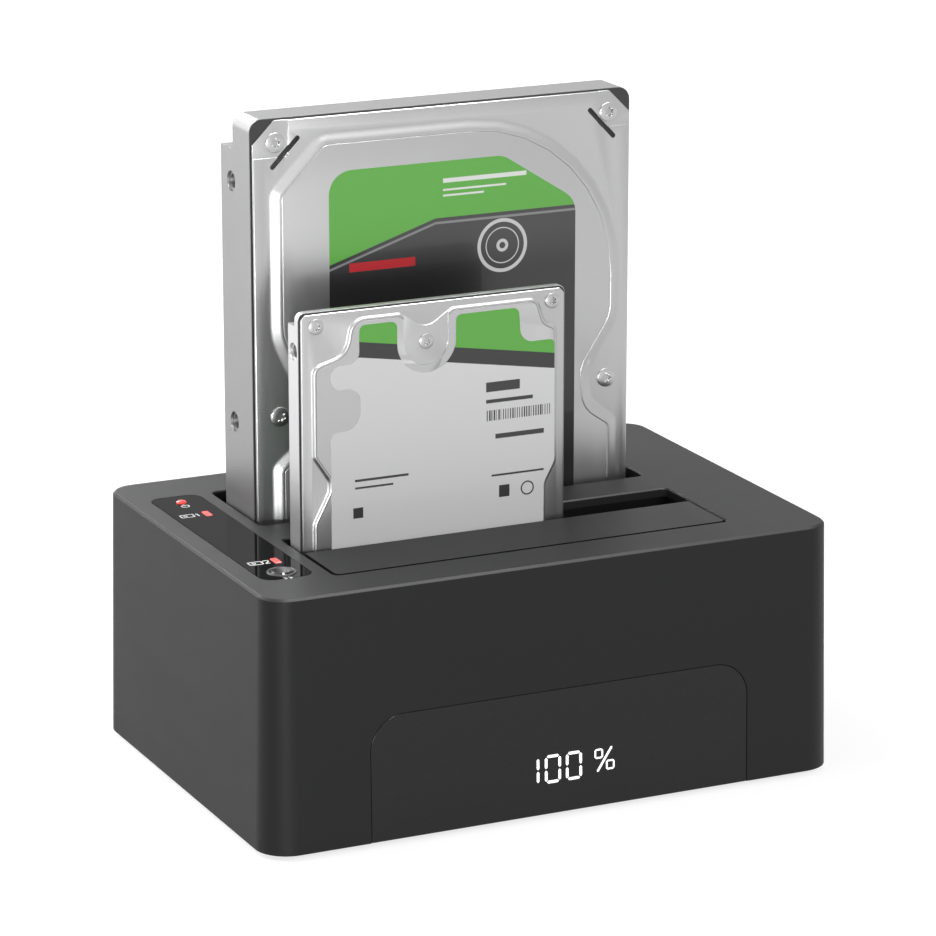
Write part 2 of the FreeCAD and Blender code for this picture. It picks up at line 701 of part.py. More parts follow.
# ---------------------------------------------------------------- display window and module
def make_front_window():
    """The window's front leans with the housing; its back lies flat in the seat."""
    stock = Piece("window_stock", keep=False)
    housing_stock(stock)
    plate = Piece("window_plate", keep=False)
    outline = plate.sketch("XZ", WINDOW_FLOOR)
    window_outline(outline, "0")
    plate.pad(outline, "window_thickness + draft_inset + 1")
    window = doc.addObject("Part::Common", "front_window")
    window.Base = stock.body
    window.Tool = plate.body
    keep("front_window", window)


make_front_window()


def make_display_module():
    """A block of digits behind the window, with a shallow tray for each digit cell."""
    module = block("display_block",
                   ("display_x - display_width / 2", "display_front", "board_top"),
                   ("display_width", "display_depth", "display_z + display_height / 2 - board_top"))
    cells = []
    for index in range(3):
        cells.append(block("digit_cell_%d" % index,
                           ("display_x - display_width / 2 + 2 + %d * digit_pitch" % index,
                            "display_front - 0.1", "display_z - digit_height / 2 - 0.6"),
                           ("digit_pitch - 1.2", "0.5", "digit_height + 1.2")))
    keep("display_module", cut_from("display_module", module, cells))


make_display_module()


# ---------------------------------------------------------------- control strip
def make_control_strip():
    strip = Piece("control_strip")
    plate = strip.sketch("XY", "top_z - strip_thickness")
    rectangle(plate, STRIP_X, "strip_y", "strip_width", "strip_length", "strip_radius")
    strip.pad(plate, "strip_thickness")
    holes = strip.sketch("XY", "top_z")
    circle(holes, STRIP_X, "button_y", "button_radius + button_gap + ring_width")
    circle(holes, STRIP_X, "power_lamp_y", "power_lamp_radius")
    for along in ("source_lamp_y", "target_lamp_y"):
        rectangle(holes, LAMP_X, along, "lamp_width", "lamp_length", "0.3")
    strip.pocket(holes, "strip_thickness * 2")


def make_button_ring():
    ring = Piece("button_ring")
    section = ring.sketch("XZ", "0")
    inner = "button_radius + button_gap"
    outer = "button_radius + button_gap + ring_width"
    closed_outline(section, [
        (inner, "top_z - strip_thickness"), (outer, "top_z - strip_thickness"), (outer, "top_z"),
        (outer + " - 0.15", "top_z + 0.25"), (inner + " + 0.15", "top_z + 0.25"), (inner, "top_z + 0.1")])
    ring.turn(section)
    set_down(ring, STRIP_X, "button_y")


def set_down(piece, across, along):
    """Move a body that is turned about the Z axis to its place on the dock."""
    bind(piece.body, "Placement.Base.x", across)
    bind(piece.body, "Placement.Base.y", along)


def make_clone_button():
    """A domed cap, a collar that the housing holds down, and a stem above the switch."""
    button = Piece("clone_button")
    section = button.sketch("XZ", "0")
    collar = "button_radius + 0.75"
    closed_outline(section, [
        ("0", "switch_top + button_travel + 0.1"), ("1.2", "switch_top + button_travel + 0.1"),
        ("1.2", "ceiling_z - 0.9"), (collar, "ceiling_z - 0.9"), (collar, "ceiling_z - 0.1"),
        ("button_radius", "ceiling_z - 0.1"), ("button_radius", "top_z + button_proud - 0.4"),
        ("button_radius - 0.4", "top_z + button_proud"), ("0", "top_z + button_proud")])
    button.turn(section)
    set_down(button, STRIP_X, "button_y")


def make_lamps():
    dome = Piece("power_lamp")
    section = dome.sketch("XZ", "0")
    closed_outline(section, [
        ("0", "strip_board_top"), ("power_lamp_radius", "strip_board_top"),
        ("power_lamp_radius", "top_z + 0.1"), ("power_lamp_radius * 0.5", "top_z + power_lamp_rise"),
        ("0", "top_z + power_lamp_rise")])
    dome.turn(section)
    set_down(dome, STRIP_X, "power_lamp_y")
    for label in ("source_lamp", "target_lamp"):
        lamp = Piece(label)
        stem = lamp.sketch("XY", "strip_board_top")
        rectangle(stem, LAMP_X, label + "_y", "lamp_width", "lamp_length", "0.3")
        lamp.pad(stem, "top_z + 0.2 - strip_board_top")
        lamp.chamfer("0.15", at_height("top_z + 0.2"))


def make_strip_board():
    board = Piece("strip_board")
    plate = board.sketch("XY", "strip_board_top - strip_board_thickness")
    rectangle(plate, STRIP_X, "strip_y", "strip_width - 3", "strip_length - 4")
    board.pad(plate, "strip_board_thickness")
    holes = board.sketch("XY", "strip_board_top")
    for along in ("front_post_y", "rear_post_y"):
        circle(holes, STRIP_X, along, "strip_stake_radius + 0.05")
    board.pocket(holes, "strip_board_thickness * 2")


def make_button_switch():
    body = block("switch_body", (STRIP_X + " - 1.75", "button_y - 1.75", "strip_board_top"),
                 ("3.5", "3.5", "switch_top - strip_board_top - 0.3"))
    plunger = rod("switch_plunger", (STRIP_X, "button_y", "switch_top - 0.3"), "0.8", "0.3")
    keep("button_switch", joined("button_switch", [body, plunger]))


make_control_strip()
make_button_ring()
make_clone_button()
make_lamps()
make_strip_board()
make_button_switch()


# ---------------------------------------------------------------- bay frames
DRIVE_IN = {"front": "small", "rear": "large"}


def make_bay_frame(bay):
    """A rectangular well under a slot, with a floor round the receptacle and two guide rails."""
    frame = Piece(bay + "_bay_frame")
    slot_front, slot_back = bay + "_slot_front", bay + "_slot_back"
    drive = DRIVE_IN[bay]
    floor_top = "%s_seat - floor_gap" % drive
    inner_depth = "bay_depth + hinge_pocket"
    middle = "(%s - hinge_pocket + %s) / 2" % (slot_front, slot_back)
    outer = frame.sketch("XY", floor_top + " - bay_wall")
    rectangle(outer, "0", middle, "bay_width + 2 * bay_wall", inner_depth + " + 2 * bay_wall")
    frame.pad(outer, "ceiling_z - (%s - bay_wall)" % floor_top)
    flange = frame.sketch("XY", "ceiling_z - bay_wall")
    rectangle(flange, "0", middle, "bay_width + 3 * bay_wall", inner_depth + " + 3 * bay_wall")
    frame.pad(flange, "bay_wall")
    well = frame.sketch("XY", "ceiling_z")
    rectangle(well, "0", middle, "bay_width", inner_depth)
    frame.pocket(well, "ceiling_z - (%s)" % floor_top)
    opening = frame.sketch("XY", floor_top)
    rectangle(opening, "plug_x", drive + "_plug_y", "socket_width + 0.8", "socket_depth + 0.8")
    frame.pocket(opening, "bay_wall * 2")
    rails = frame.sketch("XY", floor_top)
    reach = "%s - %s_back - 0.4" % (slot_back, drive)
    for side in (-1, 1):
        rectangle(rails, "plug_x + %d * rail_spread" % side, "%s - (%s) / 2" % (slot_back, reach),
                  "rail_width", reach)
    frame.pad(rails, "rail_height")
    tip = number(floor_top + " + rail_height")
    front = number(drive + "_back") + 0.4
    frame.chamfer("rail_lead", lambda box: abs(box.ZMin - tip) < 0.01 and box.ZLength < 0.01
                  and abs(box.YMax - front) < 0.01 and box.YLength < 0.01)
    pin_holes = frame.sketch("YZ", "0 - bay_width / 2 - bay_wall - 1")
    circle(pin_holes, bay + "_hinge_y", "hinge_z", "pin_radius")
    frame.pocket(pin_holes, "bay_width + 2 * bay_wall + 2", backward=True)


for each_bay in DRIVE_IN:
    make_bay_frame(each_bay)


# ---------------------------------------------------------------- flaps
def make_flap(bay):
    """A plate flush with the top, with an arm down and forward to two knuckles on the pin."""
    label = bay + "_flap"
    flap = Piece(label)
    width = "bay_width - 2 * flap_gap"
    front = "hinge_back + flap_gap"
    under = "hinge_drop - flap_thickness"
    plate = flap.sketch("YZ", "0")
    reach = "flap_reach"
    closed_outline(plate, [
        (front, under), ("%s + %s" % (front, reach), under), ("%s + %s" % (front, reach), "hinge_drop"),
        (front, "hinge_drop")])
    flap.pad(plate, width, both=True)
    foremost = number(front)
    flap.fillet("slot_radius - flap_gap", lambda box: box.ZLength > 1 and abs(box.YMax - foremost) < 0.01)
    ribs = flap.sketch("YZ", "0")
    closed_outline(ribs, [
        ("%s + 3" % front, under + " - 1.2"), ("%s + %s - 1.5" % (front, reach), under + " - 1.2"),
        ("%s + %s - 1.5" % (front, reach), under + " + 0.2"), ("%s + 3" % front, under + " + 0.2")])
    flap.pad(ribs, "1.2", both=True)
    for side in (-1, 1):
        place = "%d * (bay_width / 2 - flap_gap - knuckle_inset - knuckle_length / 2)" % side
        arm = flap.sketch("YZ", place)
        closed_outline(arm, [
            (front, under + " + 0.2"), (front, "knuckle_radius - 0.2"), ("0", "knuckle_radius * 0.6"),
            ("0.3", "0 - knuckle_radius * 0.8"), ("%s + 3" % front, under + " + 0.2")])
        flap.pad(arm, "knuckle_length", both=True)
        knuckle = flap.sketch("YZ", place)
        circle(knuckle, "0", "0", "knuckle_radius")
        flap.pad(knuckle, "knuckle_length", both=True)
        bore = flap.sketch("YZ", "%s - knuckle_length / 2 - 1" % place)
        circle(bore, "0", "0", "pin_radius + pin_clearance")
        flap.pocket(bore, "knuckle_length + 2", backward=True)
    bind(flap.body, "Placement.Base.y", bay + "_hinge_y")
    bind(flap.body, "Placement.Base.z", "hinge_z")
    return flap


def make_hinge_pin(bay):
    keep(bay + "_hinge_pin", rod(bay + "_hinge_pin", ("0 - bay_width / 2 - bay_wall", bay + "_hinge_y",
         "hinge_z"), "pin_radius", "bay_width + 2 * bay_wall", axis="x"))


def make_flap_spring(bay):
    """A closed coil round the pin beside the left knuckle, with its leg down the frame's front wall."""
    start = "0 - bay_width / 2 + flap_gap + knuckle_inset + knuckle_length + 0.4"
    coil = rod(bay + "_coil", (start, bay + "_hinge_y", "hinge_z"), "spring_radius", "spring_length",
               axis="x")
    core = rod(bay + "_core", (start + " - 1", bay + "_hinge_y", "hinge_z"), "pin_radius + 0.02",
               "spring_length + 2", axis="x")
    leg = rod(bay + "_leg", (start + " + 0.3", bay + "_hinge_y - spring_radius + 0.3",
              "hinge_z - spring_leg"), "0.25", "spring_leg")
    whole = joined(bay + "_spring_stock", [coil, leg])
    keep(bay + "_flap_spring", cut_from(bay + "_flap_spring", whole, [core]))


flaps = {each_bay: make_flap(each_bay) for each_bay in DRIVE_IN}
flaps["rear"].body.Placement.Rotation = FreeCAD.Rotation(FreeCAD.Vector(-1, 0, 0), 1)
bind(flaps["rear"].body, "Placement.Rotation.Angle", "folded_angle")
for each_bay in DRIVE_IN:
    make_hinge_pin(each_bay)
    make_flap_spring(each_bay)


# ---------------------------------------------------------------- base
def each_foot():
    for side, across in (("left", "0 - foot_x"), ("right", "foot_x")):
        for end, along in (("front", "0 - foot_y"), ("rear", "foot_y")):
            yield end + "_" + side, across, along


def make_bottom_cover():
    cover = Piece("bottom_cover")
    plate = cover.sketch("XY", "cover_bottom")
    rectangle(plate, "0", "0", "body_width - 2 * wall - 2 * cover_gap",
              "body_depth - 2 * wall - 2 * cover_gap", "corner_radius - wall")
    cover.pad(plate, "cover_thickness")
    standoffs = cover.sketch("XY", "cover_top")
    for across, along in each_board_screw():
        circle(standoffs, across, along, "standoff_radius")
    cover.pad(standoffs, "standoff_height")
    tapped = cover.sketch("XY", "board_bottom")
    for across, along in each_board_screw():
        circle(tapped, across, along, "board_screw_radius")
    cover.pocket(tapped, "standoff_height")
    shanks = cover.sketch("XY", "cover_bottom")
    for _, across, along in each_boss():
        circle(shanks, across, along, "screw_radius + 0.15")
    cover.pocket(shanks, "cover_thickness + 1", backward=True)
    heads = cover.sketch("XY", "cover_bottom")
    for _, across, along in each_boss():
        circle(heads, across, along, "screw_head_radius + 0.3")
    cover.pocket(heads, "screw_head_height", backward=True)
    sockets = cover.sketch("XY", "cover_bottom")
    for _, across, along in each_foot():
        circle(sockets, across, along, "foot_radius")
    cover.pocket(sockets, "foot_socket", backward=True)


def make_feet():
    """Rubber feet, let into the cover and a little conical towards the surface."""
    for place, across, along in each_foot():
        foot = Piece("foot_" + place)
        section = foot.sketch("XZ", "0")
        closed_outline(section, [
            ("0", "0"), ("foot_radius - 0.6", "0"), ("foot_radius", "cover_bottom + foot_socket"),
            ("0", "cover_bottom + foot_socket")])
        foot.turn(section)
        set_down(foot, across, along)


def screw(name, across, along, seat, shank_radius, length, head_radius, head_height, up=False):
    """A pan-head screw along Z whose head stands below its seat, or above it where up is set."""
    head_base = seat if up else "%s - %s" % (seat, head_height)
    shank_base = "(%s) - (%s)" % (seat, length) if up else seat
    head = rod(name + "_head", (across, along, head_base), head_radius, head_height)
    shank = rod(name + "_shank", (across, along, shank_base), shank_radius, length)
    return joined(name, [head, shank])


def each_board_screw():
    for side in (-1, 1):
        for end in (-1, 1):
            yield ("%d * (board_width / 2 - board_margin)" % side,
                   "board_y + %d * (board_depth / 2 - board_margin)" % end)


def make_case_screws():
    screws = []
    for index, (_, across, along) in enumerate(each_boss()):
        screws.append(screw("case_screw_%d" % index, across, along, "cover_bottom + screw_head_height",
                            "screw_radius", "screw_length - 0.5", "screw_head_radius",
                            "screw_head_height"))
    keep("case_screws", group("case_screws", screws))


def make_board_screws():
    screws = []
    for index, (across, along) in enumerate(each_board_screw()):
        screws.append(screw("board_screw_%d" % index, across, along, "board_top", "board_screw_radius",
                            "board_thickness + standoff_height - 0.4", "2.3", "1.4", up=True))
    keep("board_screws", group("board_screws", screws))


make_bottom_cover()
make_feet()
make_case_screws()
make_board_screws()


# ---------------------------------------------------------------- main board and what it carries
def make_main_board():
    board = Piece("main_board")
    plate = board.sketch("XY", "board_bottom")
    rectangle(plate, "0", "board_y", "board_width", "board_depth", "2")
    board.pad(plate, "board_thickness")
    holes = board.sketch("XY", "board_top")
    for across, along in each_board_screw():
        circle(holes, across, along, "board_screw_radius + 0.1")
    board.pocket(holes, "board_thickness * 2")


# each blade of the connector: its middle right of the connector's middle, and its length
TONGUES = (("tongue_shift - power_tongue / 2 + 5.4", "power_tongue"),
           ("tongue_shift + data_tongue / 2 + 7.6", "data_tongue"))


def make_receptacle(bay):
    """The bay's vertical connector: a tall body, a nose that enters the drive, two keyed slots."""
    drive = DRIVE_IN[bay]
    piece = Piece(bay + "_receptacle")
    along = drive + "_plug_y"
    shoulder = "%s_seat - 0.4" % drive
    body = piece.sketch("XY", "board_top")
    rectangle(body, "plug_x", along, "socket_width", "socket_depth", "0.8")
    piece.pad(body, "%s - board_top" % shoulder)
    nose = piece.sketch("XY", shoulder)
    rectangle(nose, "plug_x", along, "nose_width", "nose_depth", "0.5")
    piece.pad(nose, "nose_height")
    slots = piece.sketch("XY", "%s + nose_height" % shoulder)
    for shift, length in TONGUES:
        keyed_slot(slots, "plug_x + " + shift, along, length + " + 0.6", "tongue_thickness + 0.6", "0.3")
    piece.pocket(slots, "nose_height")


def keyed_slot(sketch, across, along, length, thickness, grow):
    """An L outline: a straight blade with its key turned back at the left end."""
    left, right = "%s - (%s) / 2" % (across, length), "%s + (%s) / 2" % (across, length)
    low, high = "%s - (%s) / 2" % (along, thickness), "%s + (%s) / 2" % (along, thickness)
    key_right = "%s + %s" % (left, thickness)
    key_high = "%s + tongue_key + %s - %s" % (high, grow, grow)
    closed_outline(sketch, [(left, low), (right, low), (right, high), (key_right, high),
                            (key_right, key_high), (left, key_high)])


def make_chips():
    controller = block("controller_chip", ("controller_x - controller_size / 2", "0 - controller_size / 2",
                       "board_top"), ("controller_size", "controller_size", "chip_thickness"))
    keep("controller_chip", controller)
    bridges = []
    for side in (-1, 1):
        low = ("bridge_x - bridge_size / 2", "bridge_y + %d * bridge_pitch / 2 - bridge_size / 2" % side,
               "board_top")
        bridges.append(block("bridge_chip_%d" % side, low, ("bridge_size", "bridge_size", "chip_thickness")))
    keep("bridge_chips", group("bridge_chips", bridges))
    cans = []
    for index in (-1, 0, 1):
        spot = ("capacitor_x", "capacitor_y + %d * capacitor_pitch" % index, "board_top")
        cans.append(rod("capacitor_%d" % index, spot, "capacitor_radius", "capacitor_height"))
    keep("capacitors", group("capacitors", cans))


def make_ports():
    """The rear connectors stand on the board's back edge and end flush with the housing."""
    usb_shell = block("usb_shell", ("usb_x - usb_width / 2", "port_start", "board_top"),
                      ("usb_width", "port_depth", "usb_height"))
    usb_mouth = block("usb_mouth", ("usb_x - usb_width / 2 + 0.7", "port_face - port_depth * 2 / 3",
                      "board_top + 0.7"), ("usb_width - 1.4", "port_depth", "usb_height - 1.4"))
    shell = cut_from("usb_shell_open", usb_shell, [usb_mouth])
    tongue = block("usb_tongue", ("usb_x - usb_width * 0.24", "port_face - port_depth * 0.7",
                   "board_top + usb_height * 0.35"),
                   ("usb_width * 0.48", "port_depth * 0.6", "usb_height * 0.3"))
    keep("usb_port", joined("usb_port", [shell, tongue]))
    jack = block("jack_body", ("jack_x - jack_width / 2", "port_start", "board_top"),
                 ("jack_width", "port_depth", "jack_height"))
    bore = rod("jack_bore", ("jack_x", "port_face - port_depth * 0.7", "board_top + jack_height / 2"),
               "jack_bore_radius", "port_depth", axis="y")
    pin = rod("jack_pin", ("jack_x", "port_face - port_depth * 0.75", "board_top + jack_height / 2"),
              "jack_pin_radius", "port_depth * 0.65", axis="y")
    keep("power_jack", joined("power_jack", [cut_from("jack_open", jack, [bore]), pin]))


def make_power_switch():
    """A latching push switch behind the rear wall, with a bezel seated in its hole."""
    bezel = Piece("switch_bezel")
    rim = "switch_radius"
    neck = "switch_radius - 0.9 - 0.1"
    bore = "power_button_radius + 0.3"
    section = bezel.sketch("XZ", "0")
    closed_outline(section, [
        (bore, "0 - switch_depth"), (neck, "0 - switch_depth"), (neck, "0"), (rim, "0"),
        (rim + " - 0.25", "0.3"), (bore, "0.3")])
    bezel.turn(section)
    button = Piece("power_button")
    cap = button.sketch("XZ", "0")
    closed_outline(cap, [
        ("0", "0 - switch_depth + 2"), ("power_button_radius", "0 - switch_depth + 2"),
        ("power_button_radius", "0"), ("power_button_radius - 0.25", "0.25"), ("0", "0.25")])
    button.turn(cap)
    holder = block("switch_box", ("switch_x - switch_radius + 0.5", "switch_seat - switch_depth - 6",
                   "switch_z - switch_radius + 0.5"),
                   ("2 * switch_radius - 1", "6", "2 * switch_radius - 1"))
    keep("switch_block", holder)
    for piece in (bezel, button):
        piece.body.Placement.Rotation = FreeCAD.Rotation(FreeCAD.Vector(1, 0, 0), -90)
        bind(piece.body, "Placement.Base.x", "switch_x")
        bind(piece.body, "Placement.Base.y", "switch_seat")
        bind(piece.body, "Placement.Base.z", "switch_z")


make_main_board()
for each_bay in DRIVE_IN:
    make_receptacle(each_bay)
make_chips()
make_ports()
make_power_switch()


# ---------------------------------------------------------------- drives
def on_drive(drive, points):
    """Corners given from a drive's upper left corner, as (right, down) or (right, down, radius)."""
    corners = []
    for point in points:
        spot = (across_drive(drive, point[0]), down_drive(drive, point[1]))
        corners.append(spot + tuple("%s * %s_across" % (extra, drive) for extra in point[2:]))
    return corners


def across_drive(drive, distance):
    """A place right of a drive's left side, which keeps its share of the drive's width."""
    return "drives_left + %s * %s_across" % (distance, drive)


def down_drive(drive, distance):
    """A place under a drive's upper end, which keeps its share of the drive's length."""
    return "%s_top - %s * %s_down" % (drive, distance, drive)


class Drive:
    """One disk drive: the same build at two sizes, face towards the front."""

    def __init__(self, name, platform, label, screws, slots, pads, side_holes, back_holes):
        self.name = name
        self.platform = platform
        self.label = label
        self.screws = screws
        self.slots = slots
        self.pads = pads
        self.side_holes = side_holes
        self.back_holes = back_holes

    def piece(self, label):
        return Piece("%s_drive_%s" % (self.name, label))

    def size(self, word):
        return "%s_%s" % (self.name, word)

    def outline(self, sketch, inset, rounding):
        name = self.name
        rectangle(sketch, self.size("x"), "%s_seat + %s_length / 2" % (name, name),
                  "%s_width - 2 * (%s)" % (name, inset), "%s_length - 2 * (%s)" % (name, inset), rounding)

    def build(self):
        self.make_cover()
        self.make_gasket()
        self.make_base()
        self.make_label()
        self.make_screws()
        self.make_board()
        self.make_plug()

    def make_cover(self):
        """A pressed lid: a flat rim, a raised platform with a sloping edge, cut upper corners."""
        cover = self.piece("cover")
        rim = cover.sketch("XZ", self.size("rim"))
        cut = self.size("corner_cut")
        edge = "cover_inset"
        name = self.name
        left, right = "drives_left + " + edge, "drives_left + %s_width - %s" % (name, edge)
        top, low = "%s_top - %s" % (name, edge), "%s_seat + %s" % (name, edge)
        closed_outline(rim, [
            (left, low), (right, low), (right, "%s - %s" % (top, cut)), ("%s - %s" % (right, cut), top),
            ("%s + %s" % (left, cut), top), (left, "%s - %s" % (top, cut))])
        cover.pad(rim, self.size("rim_thickness"), backward=True)
        platform = cover.sketch("XZ", self.size("rim"))
        closed_outline(platform, on_drive(name, self.platform))
        cover.pad(platform, self.size("rise"), taper="-1 * atan(%s_slope / %s_rise)" % (name, name))
        for outline, depth in self.pads:
            hollow = cover.sketch("XZ", self.size("face"))
            closed_outline(hollow, on_drive(name, outline))
            cover.pocket(hollow, depth)
        for outline in self.slots:
            slot = cover.sketch("XZ", self.size("face"))
            closed_outline(slot, on_drive(name, outline))
            cover.pocket(slot, "%s_rise + %s_rim_thickness * 2" % (name, name))

    def make_gasket(self):
        """The dark seal between lid and casting, seen at the cut corners and round the edge."""
        gasket = self.piece("gasket")
        sheet = gasket.sketch("XZ", self.size("rim") + " + " + self.size("rim_thickness"))
        self.outline(sheet, "0.15", self.size("corner") + " - 0.15")
        gasket.pad(sheet, "gasket_thickness", backward=True)

    def make_base(self):
        """The casting: stepped at its upper end, open behind for the board, notched for the plug."""
        name = self.name
        base = self.piece("base")
        front = "%s_rim + %s_rim_thickness + gasket_thickness" % (name, name)
        block_sketch = base.sketch("XZ", front)
        self.outline(block_sketch, "0", self.size("corner"))
        base.pad(block_sketch, "%s_back - (%s)" % (name, front), backward=True)
        step = base.sketch("XZ", self.size("back"))
        rectangle(step, self.size("x"), "%s_top - %s_step / 2 + 0.5" % (name, name),
                  "%s_width + 2" % name, "%s_step + 1" % name)
        base.pocket(step, "%s_back - %s_face - %s_step_thickness" % (name, name, name), backward=True)
        tray = base.sketch("XZ", self.size("back"))
        rectangle(tray, self.size("x"), "%s_seat + %s_tray_height / 2 - 0.5" % (name, name),
                  "%s_width - 2 * %s_rail" % (name, name), "%s_tray_height + 1" % name)
        base.pocket(tray, self.size("tray_depth"), backward=True)
        notch = base.sketch("XZ", self.size("back"))
        rectangle(notch, "plug_x", "%s_seat + plug_height / 2 - 0.5" % name, "plug_width + 0.2",
                  "plug_height + 1.2")
        base.pocket(notch, "%s_back - %s_plug_y + plug_depth / 2 + 0.1" % (name, name), backward=True)
        for side, backward in (("drives_left", True), ("drives_left + %s_width" % name, False)):
            for radius, depth in ((self.size("hole_radius"), "hole_depth"),
                                  (self.size("hole_radius") + " * 1.45", "0.6")):
                holes = base.sketch("YZ", side)
                for height in self.side_holes:
                    circle(holes, "%s_back - %s_hole_setback" % (name, name),
                           "%s_seat + %s * %s_down" % (name, height, name), radius)
                base.pocket(holes, depth, backward=backward)
        tapped = base.sketch("XZ", self.size("back"))
        for across, height in self.back_holes:
            for side in (-1, 1):
                circle(tapped, "%s_x + %d * %s * %s_across" % (name, side, across, name),
                       "%s_seat + %s * %s_down" % (name, height, name), self.size("hole_radius"))
        base.pocket(tapped, "back_hole_depth", backward=True)

    def make_label(self):
        label = self.piece("label")
        sheet = label.sketch("XZ", self.size("face"))
        closed_outline(sheet, on_drive(self.name, self.label))
        label.pad(sheet, "label_thickness")

    def make_screws(self):
        """Flat-headed cover screws; each stands on the lid at its own level."""
        screws = []
        for index, (across, down, level) in enumerate(self.screws):
            name = "%s_cover_screw_%d" % (self.name, index)
            spot = (across_drive(self.name, across), "%s_%s + %s" % (self.name, level[0], level[1]),
                    down_drive(self.name, down))
            head = rod(name, (spot[0], spot[1] + " - cover_screw_height", spot[2]), self.size("screw_head"),
                       "cover_screw_height", axis="y")
            screws.append(head)
        label = "%s_drive_screws" % self.name
        keep(label, group(label, screws))

    def make_board(self):
        name = self.name
        board = self.piece("board")
        plate = board.sketch("XZ", "%s_back - 0.3" % name)
        width = "%s_width - 2 * %s_rail - 0.6" % (name, name)
        left, right = "%s_x - (%s) / 2" % (name, width), "%s_x + (%s) / 2" % (name, width)
        low, high = "%s_seat + 0.6" % name, "%s_seat + %s_tray_height - 0.4" % (name, name)
        plug_left, plug_right = "plug_x - plug_width / 2 - 0.2", "plug_x + plug_width / 2 + 0.2"
        above = "%s_seat + plug_height + 0.2" % name
        closed_outline(plate, [
            (left, low), (plug_left, low), (plug_left, above), (plug_right, above), (plug_right, low),
            (right, low), (right, high), (left, high)])
        board.pad(plate, "%s_tray_depth - 0.3" % name)

    def make_plug(self):
        """The drive's connector: an open box with two keyed blades inside."""
        name = self.name
        plug = self.piece("plug")
        along = self.size("plug_y")
        box = plug.sketch("XY", "%s_seat" % name)
        rectangle(box, "plug_x", along, "plug_width", "plug_depth")
        plug.pad(box, "plug_height")
        cavity = plug.sketch("XY", "%s_seat" % name)
        rectangle(cavity, "plug_x", along, "nose_width + 0.8", "nose_depth + 0.8")
        plug.pocket(cavity, "plug_cavity", backward=True)
        blades = plug.sketch("XY", "%s_seat + 0.8" % name)
        for shift, length in TONGUES:
            keyed_slot(blades, "plug_x + " + shift, along, length, "tongue_thickness", "0")
        plug.pad(blades, "plug_cavity - 0.8 + 0.1")


def diagonal_slot(across, down, slope, length, width):
    """A narrow slot round a point, rising to the right for slope 1 and falling for -1."""
    half, side = length / 2 * 0.7071, width / 2 * 0.7071
    return [(across - half - side, down + slope * half - slope * side),
            (across - half + side, down + slope * half + slope * side),
            (across + half + side, down - slope * half + slope * side),
            (across + half - side, down - slope * half - slope * side)]


LARGE = Drive(
    "large",
    platform=[(17.2, 4.0, 6), (99.0, 4.0, 42), (99.0, 58.0, 12), (90.6, 70.5, 5), (91.2, 78.5, 5),
              (98.4, 83.5, 4), (98.4, 134.0, 4), (4.2, 134.0, 4), (4.2, 85.5, 4), (11.2, 79.5, 4),
              (12.0, 71.0, 6), (4.2, 54.0, 14), (4.2, 17.5, 5)],
    label=[(19.6, 13.9, 6), (66.0, 13.9, 6), (85.8, 26.5, 6), (85.8, 122.0, 3), (19.6, 122.0, 3)],
    screws=[(6.3, 5.8, ("rim", "0.3")), (95.4, 5.8, ("rim", "0.3")), (6.7, 73.3, ("rim", "0")),
            (95.2, 73.3, ("rim", "0")), (6.7, 141.0, ("rim", "0")), (95.2, 141.0, ("rim", "0"))],
    slots=[diagonal_slot(8.9, 8.4, 1, 9.6, 1.2), diagonal_slot(93.0, 8.4, -1, 9.6, 1.2)],
    pads=[([(0.0, 0.0), (9.6, 0.0), (9.6, 9.4), (0.0, 9.4)], "large_rise + 0.3"),
          ([(92.2, 0.0), (101.6, 0.0), (101.6, 9.4), (92.2, 9.4)], "large_rise + 0.3")],
    side_holes=("28.5", "70.1", "130.1"),
    back_holes=(("47.6", "41.3"), ("47.6", "85.7")))

SMALL = Drive(
    "small",
    platform=[(12.9, 1.9, 4.5), (26.0, 1.9, 2), (32.7, 6.4, 4), (39.4, 1.9, 2), (62.3, 1.9, 3),
              (64.3, 8.2, 3), (67.6, 9.6, 2), (67.6, 43.5, 4), (64.8, 48.5, 4), (64.8, 90.0, 2),
              (2.9, 90.0, 2), (2.9, 51.5, 3),
              (6.9, 44.0, 2.5), (6.9, 41.4, 2.5), (2.9, 35.4, 2), (2.9, 12.9, 3), (11.5, 10.5, 5)],
    label=[(15.2, 4.1, 1.6), (25.0, 4.1, 1.6), (25.0, 17.4, 7.6), (40.4, 17.4, 7.6), (40.4, 4.1, 1.6),
           (57.0, 4.1, 1.6), (57.6, 12.8, 3.4), (66.6, 12.8, 1.4), (66.6, 43.4, 4), (63.8, 48.4, 4),
           (63.8, 88.0, 1), (7.7, 88.0, 1),
           (7.7, 29.6, 2), (15.4, 29.6, 4.4), (15.4, 19.3, 3.2), (7.7, 19.3, 2.8), (7.7, 13.4, 2.8),
           (15.2, 13.4, 3)],
    screws=[(4.3, 3.4, ("rim", "0")), (66.2, 3.4, ("rim", "0")), (32.7, 9.8, ("face", "0.3")),
            (4.3, 95.0, ("rim", "0")), (65.6, 95.0, ("rim", "0"))],
    slots=[],
    pads=[([(26.9, 0.5), (38.5, 0.5), (38.5, 15.5, 5.6), (26.9, 15.5, 5.6)], "0.3")],
    side_holes=("14.0", "90.6"),
    back_holes=(("30.86", "14.0"), ("30.86", "90.6")))

for each_drive in (LARGE, SMALL):
    each_drive.build()


# ---------------------------------------------------------------- check and export
doc.recompute()
for item in doc.Objects:
    for state in ("Invalid", "Error"):
        if state in item.State:
            raise RuntimeError("%s is %s: %s" % (item.Label, state, item.getStatusString()))
for label, piece in PIECES.items():
    if piece.Shape.isNull() or not piece.Shape.isValid() or not piece.Shape.Solids:
        raise RuntimeError("%s has no valid solid" % label)
for label, piece in PIECES.items():
    piece.Shape.exportStep("parts/%s.step" % label)
print("%d pieces" % len(PIECES))
